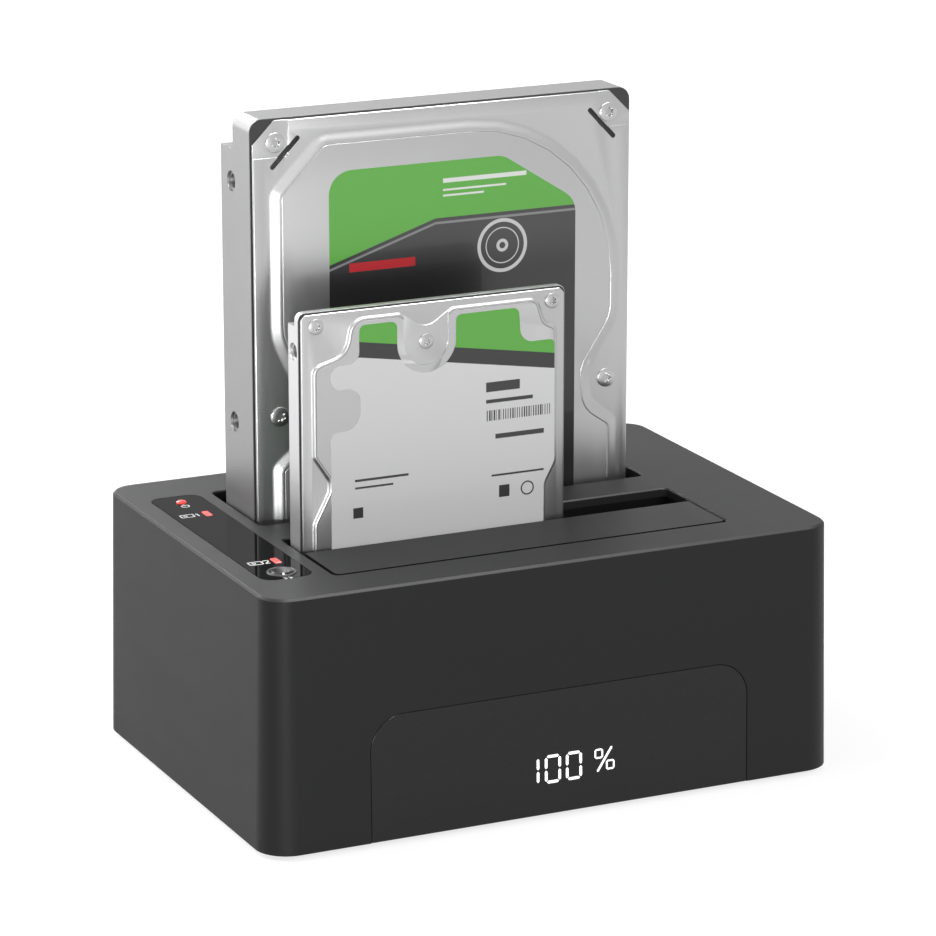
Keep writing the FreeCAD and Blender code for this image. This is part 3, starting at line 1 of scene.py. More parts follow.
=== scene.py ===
import functools
import json
import math

import bmesh
import bpy
from mathutils import Matrix, Vector

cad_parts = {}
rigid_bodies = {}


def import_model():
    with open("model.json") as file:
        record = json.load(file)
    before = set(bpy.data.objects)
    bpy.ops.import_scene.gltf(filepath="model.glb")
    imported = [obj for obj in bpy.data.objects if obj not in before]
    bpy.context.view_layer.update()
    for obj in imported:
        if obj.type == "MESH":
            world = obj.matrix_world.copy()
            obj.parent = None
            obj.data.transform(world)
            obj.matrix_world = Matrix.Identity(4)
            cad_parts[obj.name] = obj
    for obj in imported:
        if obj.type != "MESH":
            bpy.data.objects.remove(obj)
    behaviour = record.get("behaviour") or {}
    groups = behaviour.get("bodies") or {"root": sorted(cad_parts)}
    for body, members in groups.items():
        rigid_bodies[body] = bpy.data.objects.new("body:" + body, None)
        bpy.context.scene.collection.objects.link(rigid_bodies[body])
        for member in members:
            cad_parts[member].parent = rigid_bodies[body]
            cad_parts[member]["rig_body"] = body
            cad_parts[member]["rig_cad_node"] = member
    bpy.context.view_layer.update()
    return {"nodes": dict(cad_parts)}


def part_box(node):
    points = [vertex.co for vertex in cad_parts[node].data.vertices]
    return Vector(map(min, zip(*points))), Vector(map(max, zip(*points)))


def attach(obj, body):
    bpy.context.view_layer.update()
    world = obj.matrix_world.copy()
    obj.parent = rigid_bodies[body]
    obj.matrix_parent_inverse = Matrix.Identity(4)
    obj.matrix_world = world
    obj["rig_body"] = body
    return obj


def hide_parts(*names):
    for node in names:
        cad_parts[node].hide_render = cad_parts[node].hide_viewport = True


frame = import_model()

bl_info = {
    "name": "Drive duplicator dressing",
    "version": (1, 0, 0),
    "blender": (4, 5, 0),
    "location": "View3D > Sidebar > Dock",
    "description": "Pressed drive lids, screws, display, lamps and finishes for a drive duplicator",
    "category": "Object",
}

MM = 0.001
NODES = frame["nodes"]


# ---------------------------------------------------------------- settings
def length(name, text, default):
    return bpy.props.FloatProperty(name=name, description=text, default=default, unit="LENGTH",
                                   precision=5)


def colour(name, text, default):
    return bpy.props.FloatVectorProperty(name=name, description=text, default=default, size=3,
                                         min=0.0, max=1.0, subtype="COLOR")


class LidSizes(bpy.types.PropertyGroup):
    """Sizes of the pressed lids."""
    press_steps: bpy.props.IntProperty(name="Press steps", default=9,
                                       description="Rings over the sloping edge of a lid")
    crease: length("Crease", "Width of the groove at the inner edge of the slope", 0.00016)
    edge_round: length("Edge round", "Round along cut sheet edges", 0.00016)
    rim_round: length("Rim round", "Round along the outer edge of a lid", 0.0003)


class DetailSizes(bpy.types.PropertyGroup):
    """Sizes of the small pieces."""
    screw_rise: length("Screw dome", "Height of a domed screw head above its edge", 0.00024)
    screw_recess: length("Screw recess", "Depth of the six-lobed recess", 0.0009)
    stroke: length("Digit stroke", "Width of one bar of a digit", 0.0007)
    digit_height: length("Digit height", "Height of the display digits", 0.0071)
    digit_width: length("Digit width", "Width of a display digit", 0.0043)
    film: length("Film", "Thickness of printed marks and lit bars", 0.00006)
    soft_edge: length("Soft edge", "Round on moulded edges", 0.00022)


class FinishColours(bpy.types.PropertyGroup):
    """Colours a user may change."""
    charcoal: colour("Charcoal", "Moulded housing", (0.0148, 0.0150, 0.0155))
    smoke: colour("Smoke", "Display window", (0.008, 0.008, 0.0085))
    metal: colour("Metal", "Pressed lids", (0.40, 0.40, 0.404))
    casting: colour("Casting", "Small drive's casting", (0.50, 0.50, 0.505))
    # The large drive's casting colour: the same metal as the small drive's casting, a darker copy as painted
    # shade.
    dark_casting: colour("Dark casting", "Large drive's casting", (0.24, 0.24, 0.2424))
    green: colour("Green", "Green print on the drive labels", (0.108, 0.41, 0.052))
    lit: colour("Lit", "Display digits", (0.95, 0.96, 0.97))
    lamp: colour("Lamp", "Red lamps", (0.62, 0.035, 0.03))


# ---------------------------------------------------------------- working with the editor
def settle():
    """Back to object mode with nothing selected."""
    if bpy.context.mode != "OBJECT":
        bpy.ops.object.mode_set(mode="OBJECT")
    bpy.ops.object.select_all(action="DESELECT")


def pick(piece):
    settle()
    piece.select_set(True)
    bpy.context.view_layer.objects.active = piece


def edit(piece, mode="FACE", everything=False):
    """Open a piece in edit mode with nothing or everything selected."""
    pick(piece)
    bpy.ops.object.mode_set(mode="EDIT")
    bpy.ops.mesh.select_mode(type=mode)
    bpy.ops.mesh.select_all(action="SELECT" if everything else "DESELECT")


def choose(piece, kind, test):
    """Select the vertices, edges or faces of a piece in edit mode that pass a test; how many."""
    form = bmesh.from_edit_mesh(piece.data)
    chosen = [part for part in getattr(form, kind) if test(part)]
    for part in chosen:
        part.select_set(True)
    form.select_flush(True)
    bmesh.update_edit_mesh(piece.data)
    return len(chosen)


def apply_place(piece):
    """Move the object's place into its mesh."""
    pick(piece)
    bpy.ops.object.transform_apply(location=True, rotation=True, scale=True)


def modify(piece, kind, **settings):
    """Add a modifier and apply it."""
    pick(piece)
    modifier = piece.modifiers.new(kind.title(), kind)
    for name, value in settings.items():
        setattr(modifier, name, value)
    bpy.ops.object.modifier_apply(modifier=modifier.name)


def bevel_sharp(piece, width, segments=2, angle=35.0):
    modify(piece, "BEVEL", width=width, segments=segments, limit_method="ANGLE",
           angle_limit=math.radians(angle), use_clamp_overlap=True, loop_slide=False)


def smooth(piece, angle=30.0):
    pick(piece)
    bpy.ops.object.shade_smooth_by_angle(angle=math.radians(angle))


def carve(piece, cutters, operation="DIFFERENCE"):
    """Cut or join other pieces, which are used up."""
    for cutter in cutters:
        modify(piece, "BOOLEAN", operation=operation, solver="EXACT", object=cutter)
        bpy.data.objects.remove(cutter, do_unlink=True)


def joined(name, parts):
    """Several pieces as one."""
    settle()
    for part in parts:
        part.select_set(True)
    bpy.context.view_layer.objects.active = parts[0]
    bpy.ops.object.join()
    parts[0].name = parts[0].data.name = name
    return parts[0]


def face_outwards(piece):
    edit(piece, everything=True)
    bpy.ops.mesh.remove_doubles(threshold=1e-7)
    bpy.ops.mesh.normals_make_consistent(inside=False)
    settle()


def rounded(corners, steps=7):
    """Points of an outline whose corners are (across, up) or (across, up, radius), anticlockwise."""
    spots = [Vector(corner[:2]) for corner in corners]
    area = sum(spots[k - 1].x * spots[k].y - spots[k].x * spots[k - 1].y for k in range(len(spots)))
    if area < 0:
        return rounded(corners[::-1], steps)
    points = []
    for k, corner in enumerate(corners):
        spot = spots[k]
        if len(corner) < 3 or corner[2] <= 0:
            points.append(spot)
            continue
        back = (spots[k - 1] - spot).normalized()
        ahead = (spots[(k + 1) % len(spots)] - spot).normalized()
        half = back.angle(ahead) / 2
        reach = corner[2] / math.tan(half)
        centre = spot + (back + ahead).normalized() * (corner[2] / math.sin(half))
        start = spot + back * reach - centre
        end = spot + ahead * reach - centre
        count = max(2, round(steps * (math.pi - 2 * half) / (math.pi / 2)))
        turn = start.angle_signed(end)
        for step in range(count + 1):
            angle = -turn * step / count
            points.append(centre + Matrix.Rotation(angle, 2) @ start)
    return points


def sheet_face(name, points, depth):
    """A flat face towards the front: a filled circle whose rim is drawn out to an outline."""
    settle()
    bpy.ops.mesh.primitive_circle_add(vertices=len(points), fill_type="NGON")
    piece = bpy.context.active_object
    piece.name = piece.data.name = name
    apply_place(piece)
    for vertex, point in zip(piece.data.vertices, points):
        vertex.co = (point.x, depth, point.y)
    edit(piece, everything=True)
    return piece


def push(across=0.0, along=0.0, up=0.0):
    """Extrude what is selected."""
    bpy.ops.mesh.extrude_region_move(TRANSFORM_OT_translate={"value": (across, along, up)})


def draw_in(run, rise, steps, curve):
    """Inset the selected face ring by ring, raising it along a curve from 0 to 1."""
    reached = 0.0
    for step in range(1, steps + 1):
        height = rise * curve(step / steps)
        bpy.ops.mesh.inset(thickness=run / steps, depth=height - reached)
        reached = height


def slab(name, points, front, back):
    """A plate between two depths."""
    piece = sheet_face(name, points, back)
    push(along=front - back)
    settle()
    face_outwards(piece)
    return piece


def box(name, low, high):
    """A block between two corners, as a primitive cube at its size and place."""
    settle()
    centre = [(a + b) / 2 for a, b in zip(low, high)]
    size = [b - a for a, b in zip(low, high)]
    bpy.ops.mesh.primitive_cube_add(size=1, location=centre, scale=size)
    piece = bpy.context.active_object
    piece.name = piece.data.name = name
    apply_place(piece)
    return piece


def twin_of(source, name):
    """A copy with its own mesh."""
    twin = source.copy()
    twin.data = source.data.copy()
    twin.name = twin.data.name = name
    bpy.context.scene.collection.objects.link(twin)
    return twin


def whole_copy(node, name):
    """A copy of a frame node with its triangles merged back into faces."""
    piece = twin_of(NODES[node], name)
    piece.parent = None
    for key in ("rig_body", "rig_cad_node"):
        if key in piece:
            del piece[key]
    edit(piece, everything=True)
    bpy.ops.mesh.remove_doubles(threshold=2e-6)
    bpy.ops.mesh.dissolve_limited(angle_limit=math.radians(0.4))
    settle()
    return piece


# ---------------------------------------------------------------- node groups
class Web:
    """A node tree with short calls for the nodes that the finishes use."""

    def __init__(self, tree):
        self.tree = tree

    def node(self, kind, **settings):
        made = self.tree.nodes.new("ShaderNode" + kind)
        for name, value in settings.items():
            setattr(made, name, value)
        return made

    def feed(self, socket, value):
        """Link an output to an input, or set the input to a plain value."""
        if isinstance(value, bpy.types.NodeSocket):
            self.tree.links.new(value, socket)
        elif value is not None:
            socket.default_value = value

    def made(self, kind, **values):
        """A node with its named inputs fed."""
        node = self.node(kind)
        for name, value in values.items():
            self.feed(node.inputs[name.replace("_", " ")], value)
        return node

    def math(self, operation, first, second=None, clamp=False):
        made = self.node("Math", operation=operation, use_clamp=clamp)
        for socket, value in zip(made.inputs, (first, second)):
            self.feed(socket, value)
        return made.outputs[0]

    def plus(self, first, second):
        return self.math("ADD", first, second)

    def less(self, first, second):
        return self.math("SUBTRACT", first, second)

    def times(self, first, second):
        return self.math("MULTIPLY", first, second)

    def mix(self, mask, first, second, kind="RGBA"):
        """Between two colours, or two numbers."""
        made = self.node("Mix", data_type=kind)
        start, outlet = {"RGBA": (6, 2), "FLOAT": (2, 0)}[kind]
        for place, value in ((0, mask), (start, first), (start + 1, second)):
            self.feed(made.inputs[place], value)
        return made.outputs[outlet]

    def place(self, scale=(1, 1, 1), turn=(0, 0, 0)):
        """Object coordinates through a Mapping node."""
        where = self.node("TexCoord").outputs["Object"]
        return self.made("Mapping", Vector=where, Scale=scale, Rotation=turn).outputs[0]

    def axes(self):
        """Object coordinates in millimetres, as three numbers."""
        return self.made("SeparateXYZ", Vector=self.place(scale=(1000, 1000, 1000))).outputs[:3]

    def noise(self, vector, scale, detail=3.0, roughness=0.5):
        return self.made("TexNoise", Vector=vector, Scale=scale, Detail=detail,
                         Roughness=roughness).outputs["Fac"]

    def cells(self, vector, scale):
        return self.made("TexVoronoi", Vector=vector, Scale=scale).outputs["Distance"]

    # masks that are 1 inside and 0 outside, in millimetres
    def above(self, value, edge, soft=0.04):
        past = self.less(value, edge)
        ramp = self.made("MapRange", Value=past, From_Min=-soft, From_Max=soft)
        ramp.interpolation_type = "SMOOTHSTEP"
        return ramp.outputs[0]

    def both(self, *masks):
        return functools.reduce(lambda found, mask: self.times(found, mask), masks)

    def either(self, *masks):
        return functools.reduce(lambda found, mask: self.math("MAXIMUM", found, mask), masks)

    def outside(self, mask):
        return self.less(1.0, mask)

    def between(self, value, low, high, soft=0.04):
        return self.both(self.above(value, low, soft), self.outside(self.above(value, high, soft)))

    def patch(self, x, z, left, right, low, high, soft=0.04):
        return self.both(self.between(x, left, right, soft), self.between(z, low, high, soft))

    def patches(self, x, z, *corners):
        """Patches from (left, right, low, high)."""
        return self.either(*[self.patch(x, z, *four) for four in corners])

    def ring(self, x, z, centre, radius, width):
        across = self.less(x, centre[0])
        up = self.less(z, centre[1])
        away = self.math("SQRT", self.plus(self.math("POWER", across, 2.0),
                                           self.math("POWER", up, 2.0)))
        return self.between(away, radius - width / 2, radius + width / 2)


def make_group(name, outputs, **inputs):
    """A shader node group of number sockets; its web, inner inputs and outlets."""
    tree = bpy.data.node_groups.new(name, "ShaderNodeTree")
    for label, default in inputs.items():
        socket = tree.interface.new_socket(label, in_out="INPUT", socket_type="NodeSocketFloat")
        socket.default_value = default
    for label in outputs:
        tree.interface.new_socket(label, in_out="OUTPUT", socket_type="NodeSocketFloat")
    web = Web(tree)
    return web, tree.nodes.new("NodeGroupInput").outputs, tree.nodes.new("NodeGroupOutput").inputs


def grain_group():
    """Spark-eroded moulding texture: fine pits with a slow drift in tone."""
    web, given, out = make_group("Moulded grain", ("Height", "Tone"), Size=0.35, Drift=0.06)
    scale = web.math("DIVIDE", 1000.0, given["Size"])
    where = web.place()
    pits = web.cells(where, scale)
    fine = web.noise(where, scale, 2.0)
    web.feed(out["Height"], web.plus(web.times(pits, 0.6), web.times(fine, 0.6)))
    slow = web.less(web.noise(where, 18.0, 3.0), 0.5)
    speck = web.less(fine, 0.5)
    drift = web.plus(web.times(slow, given["Drift"]), web.times(speck, 0.10))
    web.feed(out["Tone"], web.plus(1.0, drift))
    return web.tree


def handling_group():
    """Faint smears and dust that change the gloss of a smooth face."""
    web, given, out = make_group("Handling", ("Gloss", "Dust"), Amount=0.05)
    smear = web.noise(web.place(scale=(1, 1, 2.4), turn=(0.3, 0.5, 0.2)), 45.0, 4.0, 0.6)
    web.feed(out["Gloss"], web.times(web.less(smear, 0.45), given["Amount"]))
    dust = web.math("GREATER_THAN", web.noise(web.place(), 2600.0, 1.0), 0.735)
    web.feed(out["Dust"], dust)
    return web.tree


def rolled_group():
    """Rolled sheet: long fine lines one way, and slow waves in its flatness."""
    web, given, out = make_group("Rolled sheet", ("Height", "Gloss", "Wave"), Fineness=1.0)
    stretched = web.place(scale=(1.0, 1.0, 0.02))
    lines = web.noise(stretched, web.times(given["Fineness"], 5200.0), 3.0, 0.6)
    speckle = web.noise(web.place(), 5200.0, 2.0)
    web.feed(out["Height"], web.plus(web.times(lines, 0.5), web.times(speckle, 0.5)))
    web.feed(out["Gloss"], web.times(web.less(lines, 0.5), 0.12))
    web.feed(out["Wave"], web.noise(web.place(), 26.0, 1.0))
    return web.tree


def cast_group():
    """Die casting: soft mottling and small pits."""
    web, given, out = make_group("Casting skin", ("Height", "Tone"), Size=0.9)
    scale = web.math("DIVIDE", 1000.0, given["Size"])
    mottle = web.noise(web.place(), scale, 4.0, 0.6)
    pits = web.cells(web.place(), web.times(scale, 1.7))
    web.feed(out["Height"], web.plus(mottle, web.times(pits, 0.3)))
    web.feed(out["Tone"], web.plus(0.94, web.times(web.noise(web.place(), 60.0, 3.0), 0.12)))
    return web.tree


def marks_group():
    """Bars and stripes of a printed label, as one mask; every size is in millimetres."""
    web, given, out = make_group("Stripe code", ("Bars",), Pitch=0.62, Left=0.0)
    x = web.axes()[0]
    step = web.math("DIVIDE", web.less(x, given["Left"]), given["Pitch"])
    cell = web.math("FLOOR", step)
    inside = web.math("FRACT", step)
    chance = web.node("TexWhiteNoise", noise_dimensions="1D")
    web.feed(chance.inputs["W"], cell)
    share = web.plus(0.22, web.times(chance.outputs["Value"], 0.5))
    web.feed(out["Bars"], web.math("LESS_THAN", inside, share))
    return web.tree


GROUPS = {"grain": grain_group, "handling": handling_group, "rolled": rolled_group,
          "casting": cast_group, "marks": marks_group}


@functools.cache
def group(name):
    """A node group by name, built the first time it is asked for."""
    return GROUPS[name]()


class Finish(Web):
    """A material: one Principled shader, fed by node groups."""

    def __init__(self, name, base, roughness, metallic=0.0, **sockets):
        self.material = bpy.data.materials.new(name)
        self.material.use_nodes = True
        super().__init__(self.material.node_tree)
        self.shader = self.tree.nodes["Principled BSDF"]
        self.base = tuple(base) + (1.0,)
        self.material.diffuse_color = self.base
        sockets.update(Base_Color=self.base, Roughness=roughness, Metallic=metallic)
        for socket, value in sockets.items():
            self.set(socket.replace("_", " "), value)

    def set(self, socket, value):
        self.feed(self.shader.inputs[socket], value)

    def use(self, name, **values):
        made = self.node("Group")
        made.node_tree = group(name)
        for socket, value in values.items():
            self.feed(made.inputs[socket], value)
        return made.outputs

    def tint(self, tone):
        """Make the base colour lighter or darker by a number near 1."""
        made = self.node("VectorMath", operation="SCALE")
        self.feed(made.inputs[0], self.base[:3])
        self.feed(made.inputs["Scale"], tone)
        self.set("Base Color", made.outputs[0])

    def layers(self, ground, *printed):
        """The base colour: a ground with (mask, colour) layers printed on it in turn."""
        for mask, ink in printed:
            ground = self.mix(mask, ground, ink)
        self.set("Base Color", ground)

    def relief(self, height, strength, distance):
        """Let a height bend the normal."""
        self.set("Normal", self.made("Bump", Height=height, Strength=strength, Distance=distance).outputs[0])


# ---------------------------------------------------------------- finishes
def moulded(name, base, roughness, size=0.35, specular=0.17):
    """Textured moulded plastic."""
    finish = Finish(name, base, roughness, Specular_IOR_Level=specular)
    grain = finish.use("grain", Size=size, Drift=0.06)
    handling = finish.use("handling", Amount=0.08)
    finish.tint(grain["Tone"])
    finish.set("Roughness", finish.plus(roughness, handling["Gloss"]))
    finish.relief(grain["Height"], 0.35, 0.00001)
    return finish.material


def polished(name, base, roughness, specular):
    """Smooth gloss plastic with faint smears."""
    finish = Finish(name, base, roughness, Specular_IOR_Level=specular)
    handling = finish.use("handling", Amount=0.05)
    finish.set("Roughness", finish.math("ADD", roughness, handling["Gloss"], clamp=True))
    finish.set("Base Color", finish.mix(finish.times(handling["Dust"], 0.03), finish.base,
                                        (0.6, 0.6, 0.6, 1.0)))
    return finish.material


def sheet_metal(name, base, roughness, fineness=1.0):
    """Satin rolled sheet."""
    finish = Finish(name, base, roughness, metallic=1.0)
    rolled = finish.use("rolled", Fineness=fineness)
    finish.set("Roughness", finish.plus(roughness, rolled["Gloss"]))
    tone = finish.plus(0.97, finish.times(rolled["Wave"], 0.06))
    finish.tint(tone)
    finish.relief(rolled["Height"], 0.12, 0.000004)
    return finish.material


def cast_metal(name, base, roughness):
    """Die-cast aluminium with a machined face."""
    finish = Finish(name, base, roughness, metallic=1.0)
    skin = finish.use("casting", Size=0.8)
    finish.tint(skin["Tone"])
    finish.relief(skin["Height"], 0.2, 0.000012)
    return finish.material


def soft_rubber(name, base, roughness):
    finish = Finish(name, base, roughness)
    grain = finish.use("grain", Size=0.2, Drift=0.12)
    finish.tint(grain["Tone"])
    finish.relief(grain["Height"], 0.3, 0.000015)
    return finish.material


def lit(name, base, strength):
    """A lens lit from behind, with a pebbled gloss."""
    finish = Finish(name, base, 0.25)
    finish.set("Emission Color", finish.base)
    finish.set("Emission Strength", strength)
    cell = finish.cells(finish.place(), 3800.0)
    finish.set("Roughness", finish.plus(0.18, finish.times(cell, 0.2)))
    return finish.material


def circuit(name):
    """Solder mask over copper tracks, with bare pads."""
    finish = Finish(name, (0.012, 0.055, 0.028), 0.35)
    x, _, z = finish.axes()
    wander = finish.noise(finish.place(), 180.0, 1.0)
    run = finish.plus(finish.plus(x, z), finish.times(wander, 9.0))
    tracks = finish.between(finish.math("FRACT", finish.times(run, 0.9)), 0.25, 0.62, 0.05)
    spread = finish.above(finish.noise(finish.place(), 70.0, 1.0), 0.5, 0.02)
    tracks = finish.both(tracks, spread)
    pads = finish.math("LESS_THAN", finish.cells(finish.place(), 330.0), 0.16)
    finish.set("Base Color", finish.mix(pads, finish.mix(tracks, finish.base, (0.022, 0.10, 0.045, 1.0)),
                                        (0.62, 0.56, 0.42, 1.0)))
    finish.set("Metallic", finish.times(pads, 0.9))
    finish.relief(finish.plus(tracks, pads), 0.3, 0.00003)
    return finish.material


def green_of_labels():
    return tuple(bpy.context.scene.dock_colours.green) + (1.0,)


def large_label(name):
    """Green field over charcoal, with plain bars and rings."""
    finish = Finish(name, (0.022, 0.022, 0.023), 0.33, Coat_Weight=0.25)
    x, _, z = finish.axes()
    left_of_knee = finish.math("MAXIMUM", finish.less(-4.0, x), 0.0)
    slope = finish.plus(z, finish.times(left_of_knee, 0.32))
    green = finish.above(slope, 134.4)
    line = finish.between(slope, 132.9, 133.5)
    lower = finish.above(z, 124.6, 6.0)
    ground = finish.mix(lower, (0.0105, 0.0100, 0.0103, 1.0), (0.040, 0.040, 0.041, 1.0))
    red = finish.patch(x, z, -27.0, -9.5, 123.2, 125.4)
    rings = finish.either(*[finish.ring(x, z, (14.0, 126.0), radius, width)
                            for radius, width in ((6.3, 0.9), (4.4, 0.28), (1.2, 0.8))])
    bars = finish.patches(x, z, (-2.0, 20.5, 143.0, 144.1), (-2.0, 15.0, 141.0, 141.5),
                          (-2.0, 9.0, 139.6, 140.1))
    finish.layers(ground, (green, green_of_labels()), (finish.times(line, 0.75), (0.30, 0.30, 0.31, 1.0)),
                  (red, (0.48, 0.016, 0.024, 1.0)), (rings, (0.62, 0.62, 0.62, 1.0)),
                  (bars, (0.78, 0.80, 0.76, 1.0)))
    finish.relief(finish.noise(finish.place(), 900.0, 2.0), 0.06, 0.00001)
    return finish.material


def small_label(name):
    """Pale field under green lobes, with a stripe code and plain bars."""
    finish = Finish(name, (0.72, 0.72, 0.725), 0.36, Coat_Weight=0.2)
    x, _, z = finish.axes()
    fade = finish.above(z, 75.0, 45.0)
    ground = finish.mix(fade, (0.60, 0.60, 0.605, 1.0), (0.74, 0.74, 0.745, 1.0))
    slope = finish.plus(z, finish.times(x, 0.16))
    dark = finish.above(slope, 103.6)
    green = finish.above(slope, 107.4)
    code = finish.both(finish.use("marks", Pitch=0.62, Left=-12.0)["Bars"],
                       finish.patch(x, z, -3.5, 14.0, 90.0, 92.6))
    bars = finish.patches(
        x, z, (-3.5, 5.5, 97.2, 99.6), (-3.5, 9.0, 94.4, 95.3), (-1.0, 12.0, 85.4, 86.6),
        (-2.0, 12.0, 76.0, 76.5), (-38.0, -24.0, 79.0, 79.6), (-38.0, -28.0, 77.2, 77.7),
        (0.0, 2.8, 70.6, 73.6), (-38.5, -35.9, 70.0, 72.6))
    grid = finish.ring(x, z, (7.6, 72.1), 1.6, 0.35)
    marks = finish.either(code, bars, grid)
    finish.layers(ground, (dark, (0.014, 0.014, 0.014, 1.0)), (green, green_of_labels()),
                  (marks, (0.018, 0.018, 0.018, 1.0)))
    finish.relief(finish.noise(finish.place(), 1100.0, 3.0), 0.08, 0.00001)
    return finish.material


# name: maker, then what it takes
FINISHES = {
    "housing": (moulded, "Charcoal moulding", "charcoal", 0.5),
    "flap": (moulded, "Charcoal flap", "charcoal", 0.48),
    "base": (moulded, "Black moulding", (0.03, 0.03, 0.031), 0.5),
    # bay: black plastic, made darker still as painted shade deep inside the slots
    "bay": (moulded, "Bay moulding", (0.005, 0.005, 0.0052), 0.5, 0.35, 0.1),
    "parts": (moulded, "Connector moulding", (0.010, 0.010, 0.0105), 0.4, 0.2),
    "window": (polished, "Smoked window", "smoke", 0.22, 0.3),
    "strip": (polished, "Black gloss strip", (0.006, 0.006, 0.0065), 0.03, 0.02),
    "button": (polished, "Black gloss button", (0.012, 0.012, 0.012), 0.12, 0.3),
    "mark": (polished, "White print", (0.72, 0.72, 0.72), 0.5, 0.5),
    "lamp": (lit, "Red lamp", "lamp", 1.1),
    "digits": (lit, "Lit digits", "lit", 0.8),
    "ring": (sheet_metal, "Dark bright ring", (0.06, 0.06, 0.062), 0.42),
    "lid": (sheet_metal, "Pressed lid metal", "metal", 0.34),
    "steel": (sheet_metal, "Plated steel", (0.42, 0.42, 0.42), 0.3, 2.0),
    "can": (sheet_metal, "Drawn can", (0.72, 0.72, 0.73), 0.25),
    "casting": (cast_metal, "Casting metal", "casting", 0.34),
    # the large drive's casting finish: a darker copy of the casting metal, as painted shade
    "dark casting": (cast_metal, "Dark casting metal", "dark_casting", 0.4),
    "gasket": (soft_rubber, "Black seal", (0.012, 0.012, 0.012), 0.6),
    "foot": (soft_rubber, "Soft foot", (0.022, 0.022, 0.022), 0.8),
    "board": (circuit, "Circuit board"),
    "large label": (large_label, "Large drive print"),
    "small label": (small_label, "Small drive print"),
}


@functools.cache
def finish_of(name):
    """A finish by name, built the first time it is asked for."""
    maker, title, *rest = FINISHES[name]
    if rest and isinstance(rest[0], str):
        rest[0] = getattr(bpy.context.scene.dock_colours, rest[0])
    return maker(title, *rest)


FINISH_NODES = {
    "housing": "upper_housing",
    "base": "bottom_cover",
    "window": "front_window",
    "strip": "control_strip",
    "ring": "button_ring",
    "button": "clone_button power_button",
    "lamp": "power_lamp source_lamp target_lamp",
    "bay": "front_bay_frame rear_bay_frame",
    "flap": "front_flap rear_flap",
    "steel": "front_hinge_pin rear_hinge_pin front_flap_spring rear_flap_spring case_screws board_screws "
             "usb_port large_drive_screws small_drive_screws",
    "foot": "foot_front_left foot_front_right foot_rear_left foot_rear_right",
    "board": "strip_board main_board large_drive_board small_drive_board",
    "parts": "display_module button_switch front_receptacle rear_receptacle controller_chip bridge_chips "
             "power_jack switch_bezel switch_block large_drive_plug small_drive_plug",
    "can": "capacitors",
    "lid": "large_drive_cover small_drive_cover",
    "gasket": "large_drive_gasket small_drive_gasket",
    "dark casting": "large_drive_base",
    "casting": "small_drive_base",
    "large label": "large_drive_label",
    "small label": "small_drive_label",
}


def paint(piece, name):
    """One finish over the whole piece."""
    piece.data.materials.clear()
    piece.data.materials.append(finish_of(name))
    return piece


def dress(piece, body, finish, slot, *replaced):
    """Give a new piece its finish and its body, and hide the nodes that it stands for; the slot is not used.
    """
    apply_place(piece)
    paint(piece, finish)
    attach(piece, body)
    if replaced:
        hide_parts(*replaced)
    settle()
    return piece


# ---------------------------------------------------------------- lids
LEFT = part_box("large_drive_base")[0].x
TOPS = {name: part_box(name + "_drive_base")[1].z for name in ("large", "small")}


def on_drive(drive, points):
    """Corners in metres from (right, down) or (right, down, radius) in millimetres."""
    corners = []
    for point in points:
        spot = (LEFT + point[0] * MM, TOPS[drive] - point[1] * MM)
        corners.append(spot + tuple(extra * MM for extra in point[2:]))
    return corners


LARGE_PLATFORM = [(17.2, 4.0, 6), (99.0, 4.0, 42), (99.0, 58.0, 12), (90.6, 70.5, 5), (91.2, 78.5, 5),
                  (98.4, 83.5, 4), (98.4, 134.0, 4), (4.2, 134.0, 4), (4.2, 85.5, 4), (11.2, 79.5, 4),
                  (12.0, 71.0, 6), (4.2, 54.0, 14), (4.2, 17.5, 5)]
SMALL_PLATFORM = [(12.9, 1.9, 4.5), (26.0, 1.9, 2), (32.7, 6.4, 4), (39.4, 1.9, 2), (62.3, 1.9, 3),
                  (64.3, 8.2, 3), (67.6, 9.6, 2), (67.6, 43.5, 4), (64.8, 48.5, 4), (64.8, 90.0, 2),
                  (2.9, 90.0, 2), (2.9, 51.5, 3), (6.9, 44.0, 2.5), (6.9, 41.4, 2.5), (2.9, 35.4, 2),
                  (2.9, 12.9, 3), (11.5, 10.5, 5)]
FIRST_TURN, NEXT_TURN = 0.7, 1.9
LARGE_SCREWS = [(6.3, 5.8, 0.3), (95.4, 5.8, 0.3), (6.7, 73.3, 0.0), (95.2, 73.3, 0.0), (6.7, 141.0, 0.0),
                (95.2, 141.0, 0.0)]
SMALL_SCREWS = [(4.3, 3.4, 0.0), (66.2, 3.4, 0.0), (32.7, 9.8, -0.2), (4.3, 95.0, 0.0), (65.6, 95.0, 0.0)]


def raised(name, outline, rim, rise, run, sunk):
    """A pressed platform: a flat face drawn in ring by ring up a soft S, with a crease at its inner edge."""
    sizes = bpy.context.scene.dock_lids
    piece = sheet_face(name, rounded(outline, 8), rim + sunk)
    push(along=-sunk)
    draw_in(run, rise, sizes.press_steps, lambda share: share * share * (3 - 2 * share))
    for share, drop in ((1.0, 0.0), (0.5, -0.8), (0.5, 0.8)):
        bpy.ops.mesh.inset(thickness=sizes.crease * share, depth=sizes.crease * drop)
    settle()
    face_outwards(piece)
    return piece


def cut_corner_plate(drive, rim, thickness, cut):
    """The lid's flat rim, with its upper corners cut off and its outer edge rounded."""
    low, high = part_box(drive + "_drive_base")
    inset, turn = 0.45 * MM, 0.6 * MM
    left, right = low.x + inset, high.x - inset
    top, base = high.z - inset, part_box(drive + "_drive_cover")[0].z
    outline = rounded([(left, base), (right, base), (right, top - cut, turn), (right - cut, top, turn),
                       (left + cut, top, turn), (left, top - cut, turn)], 6)
    piece = slab(drive + "_lid", outline, rim, rim + thickness)
    bevel_sharp(piece, bpy.context.scene.dock_lids.rim_round, 3, 50.0)
    return piece


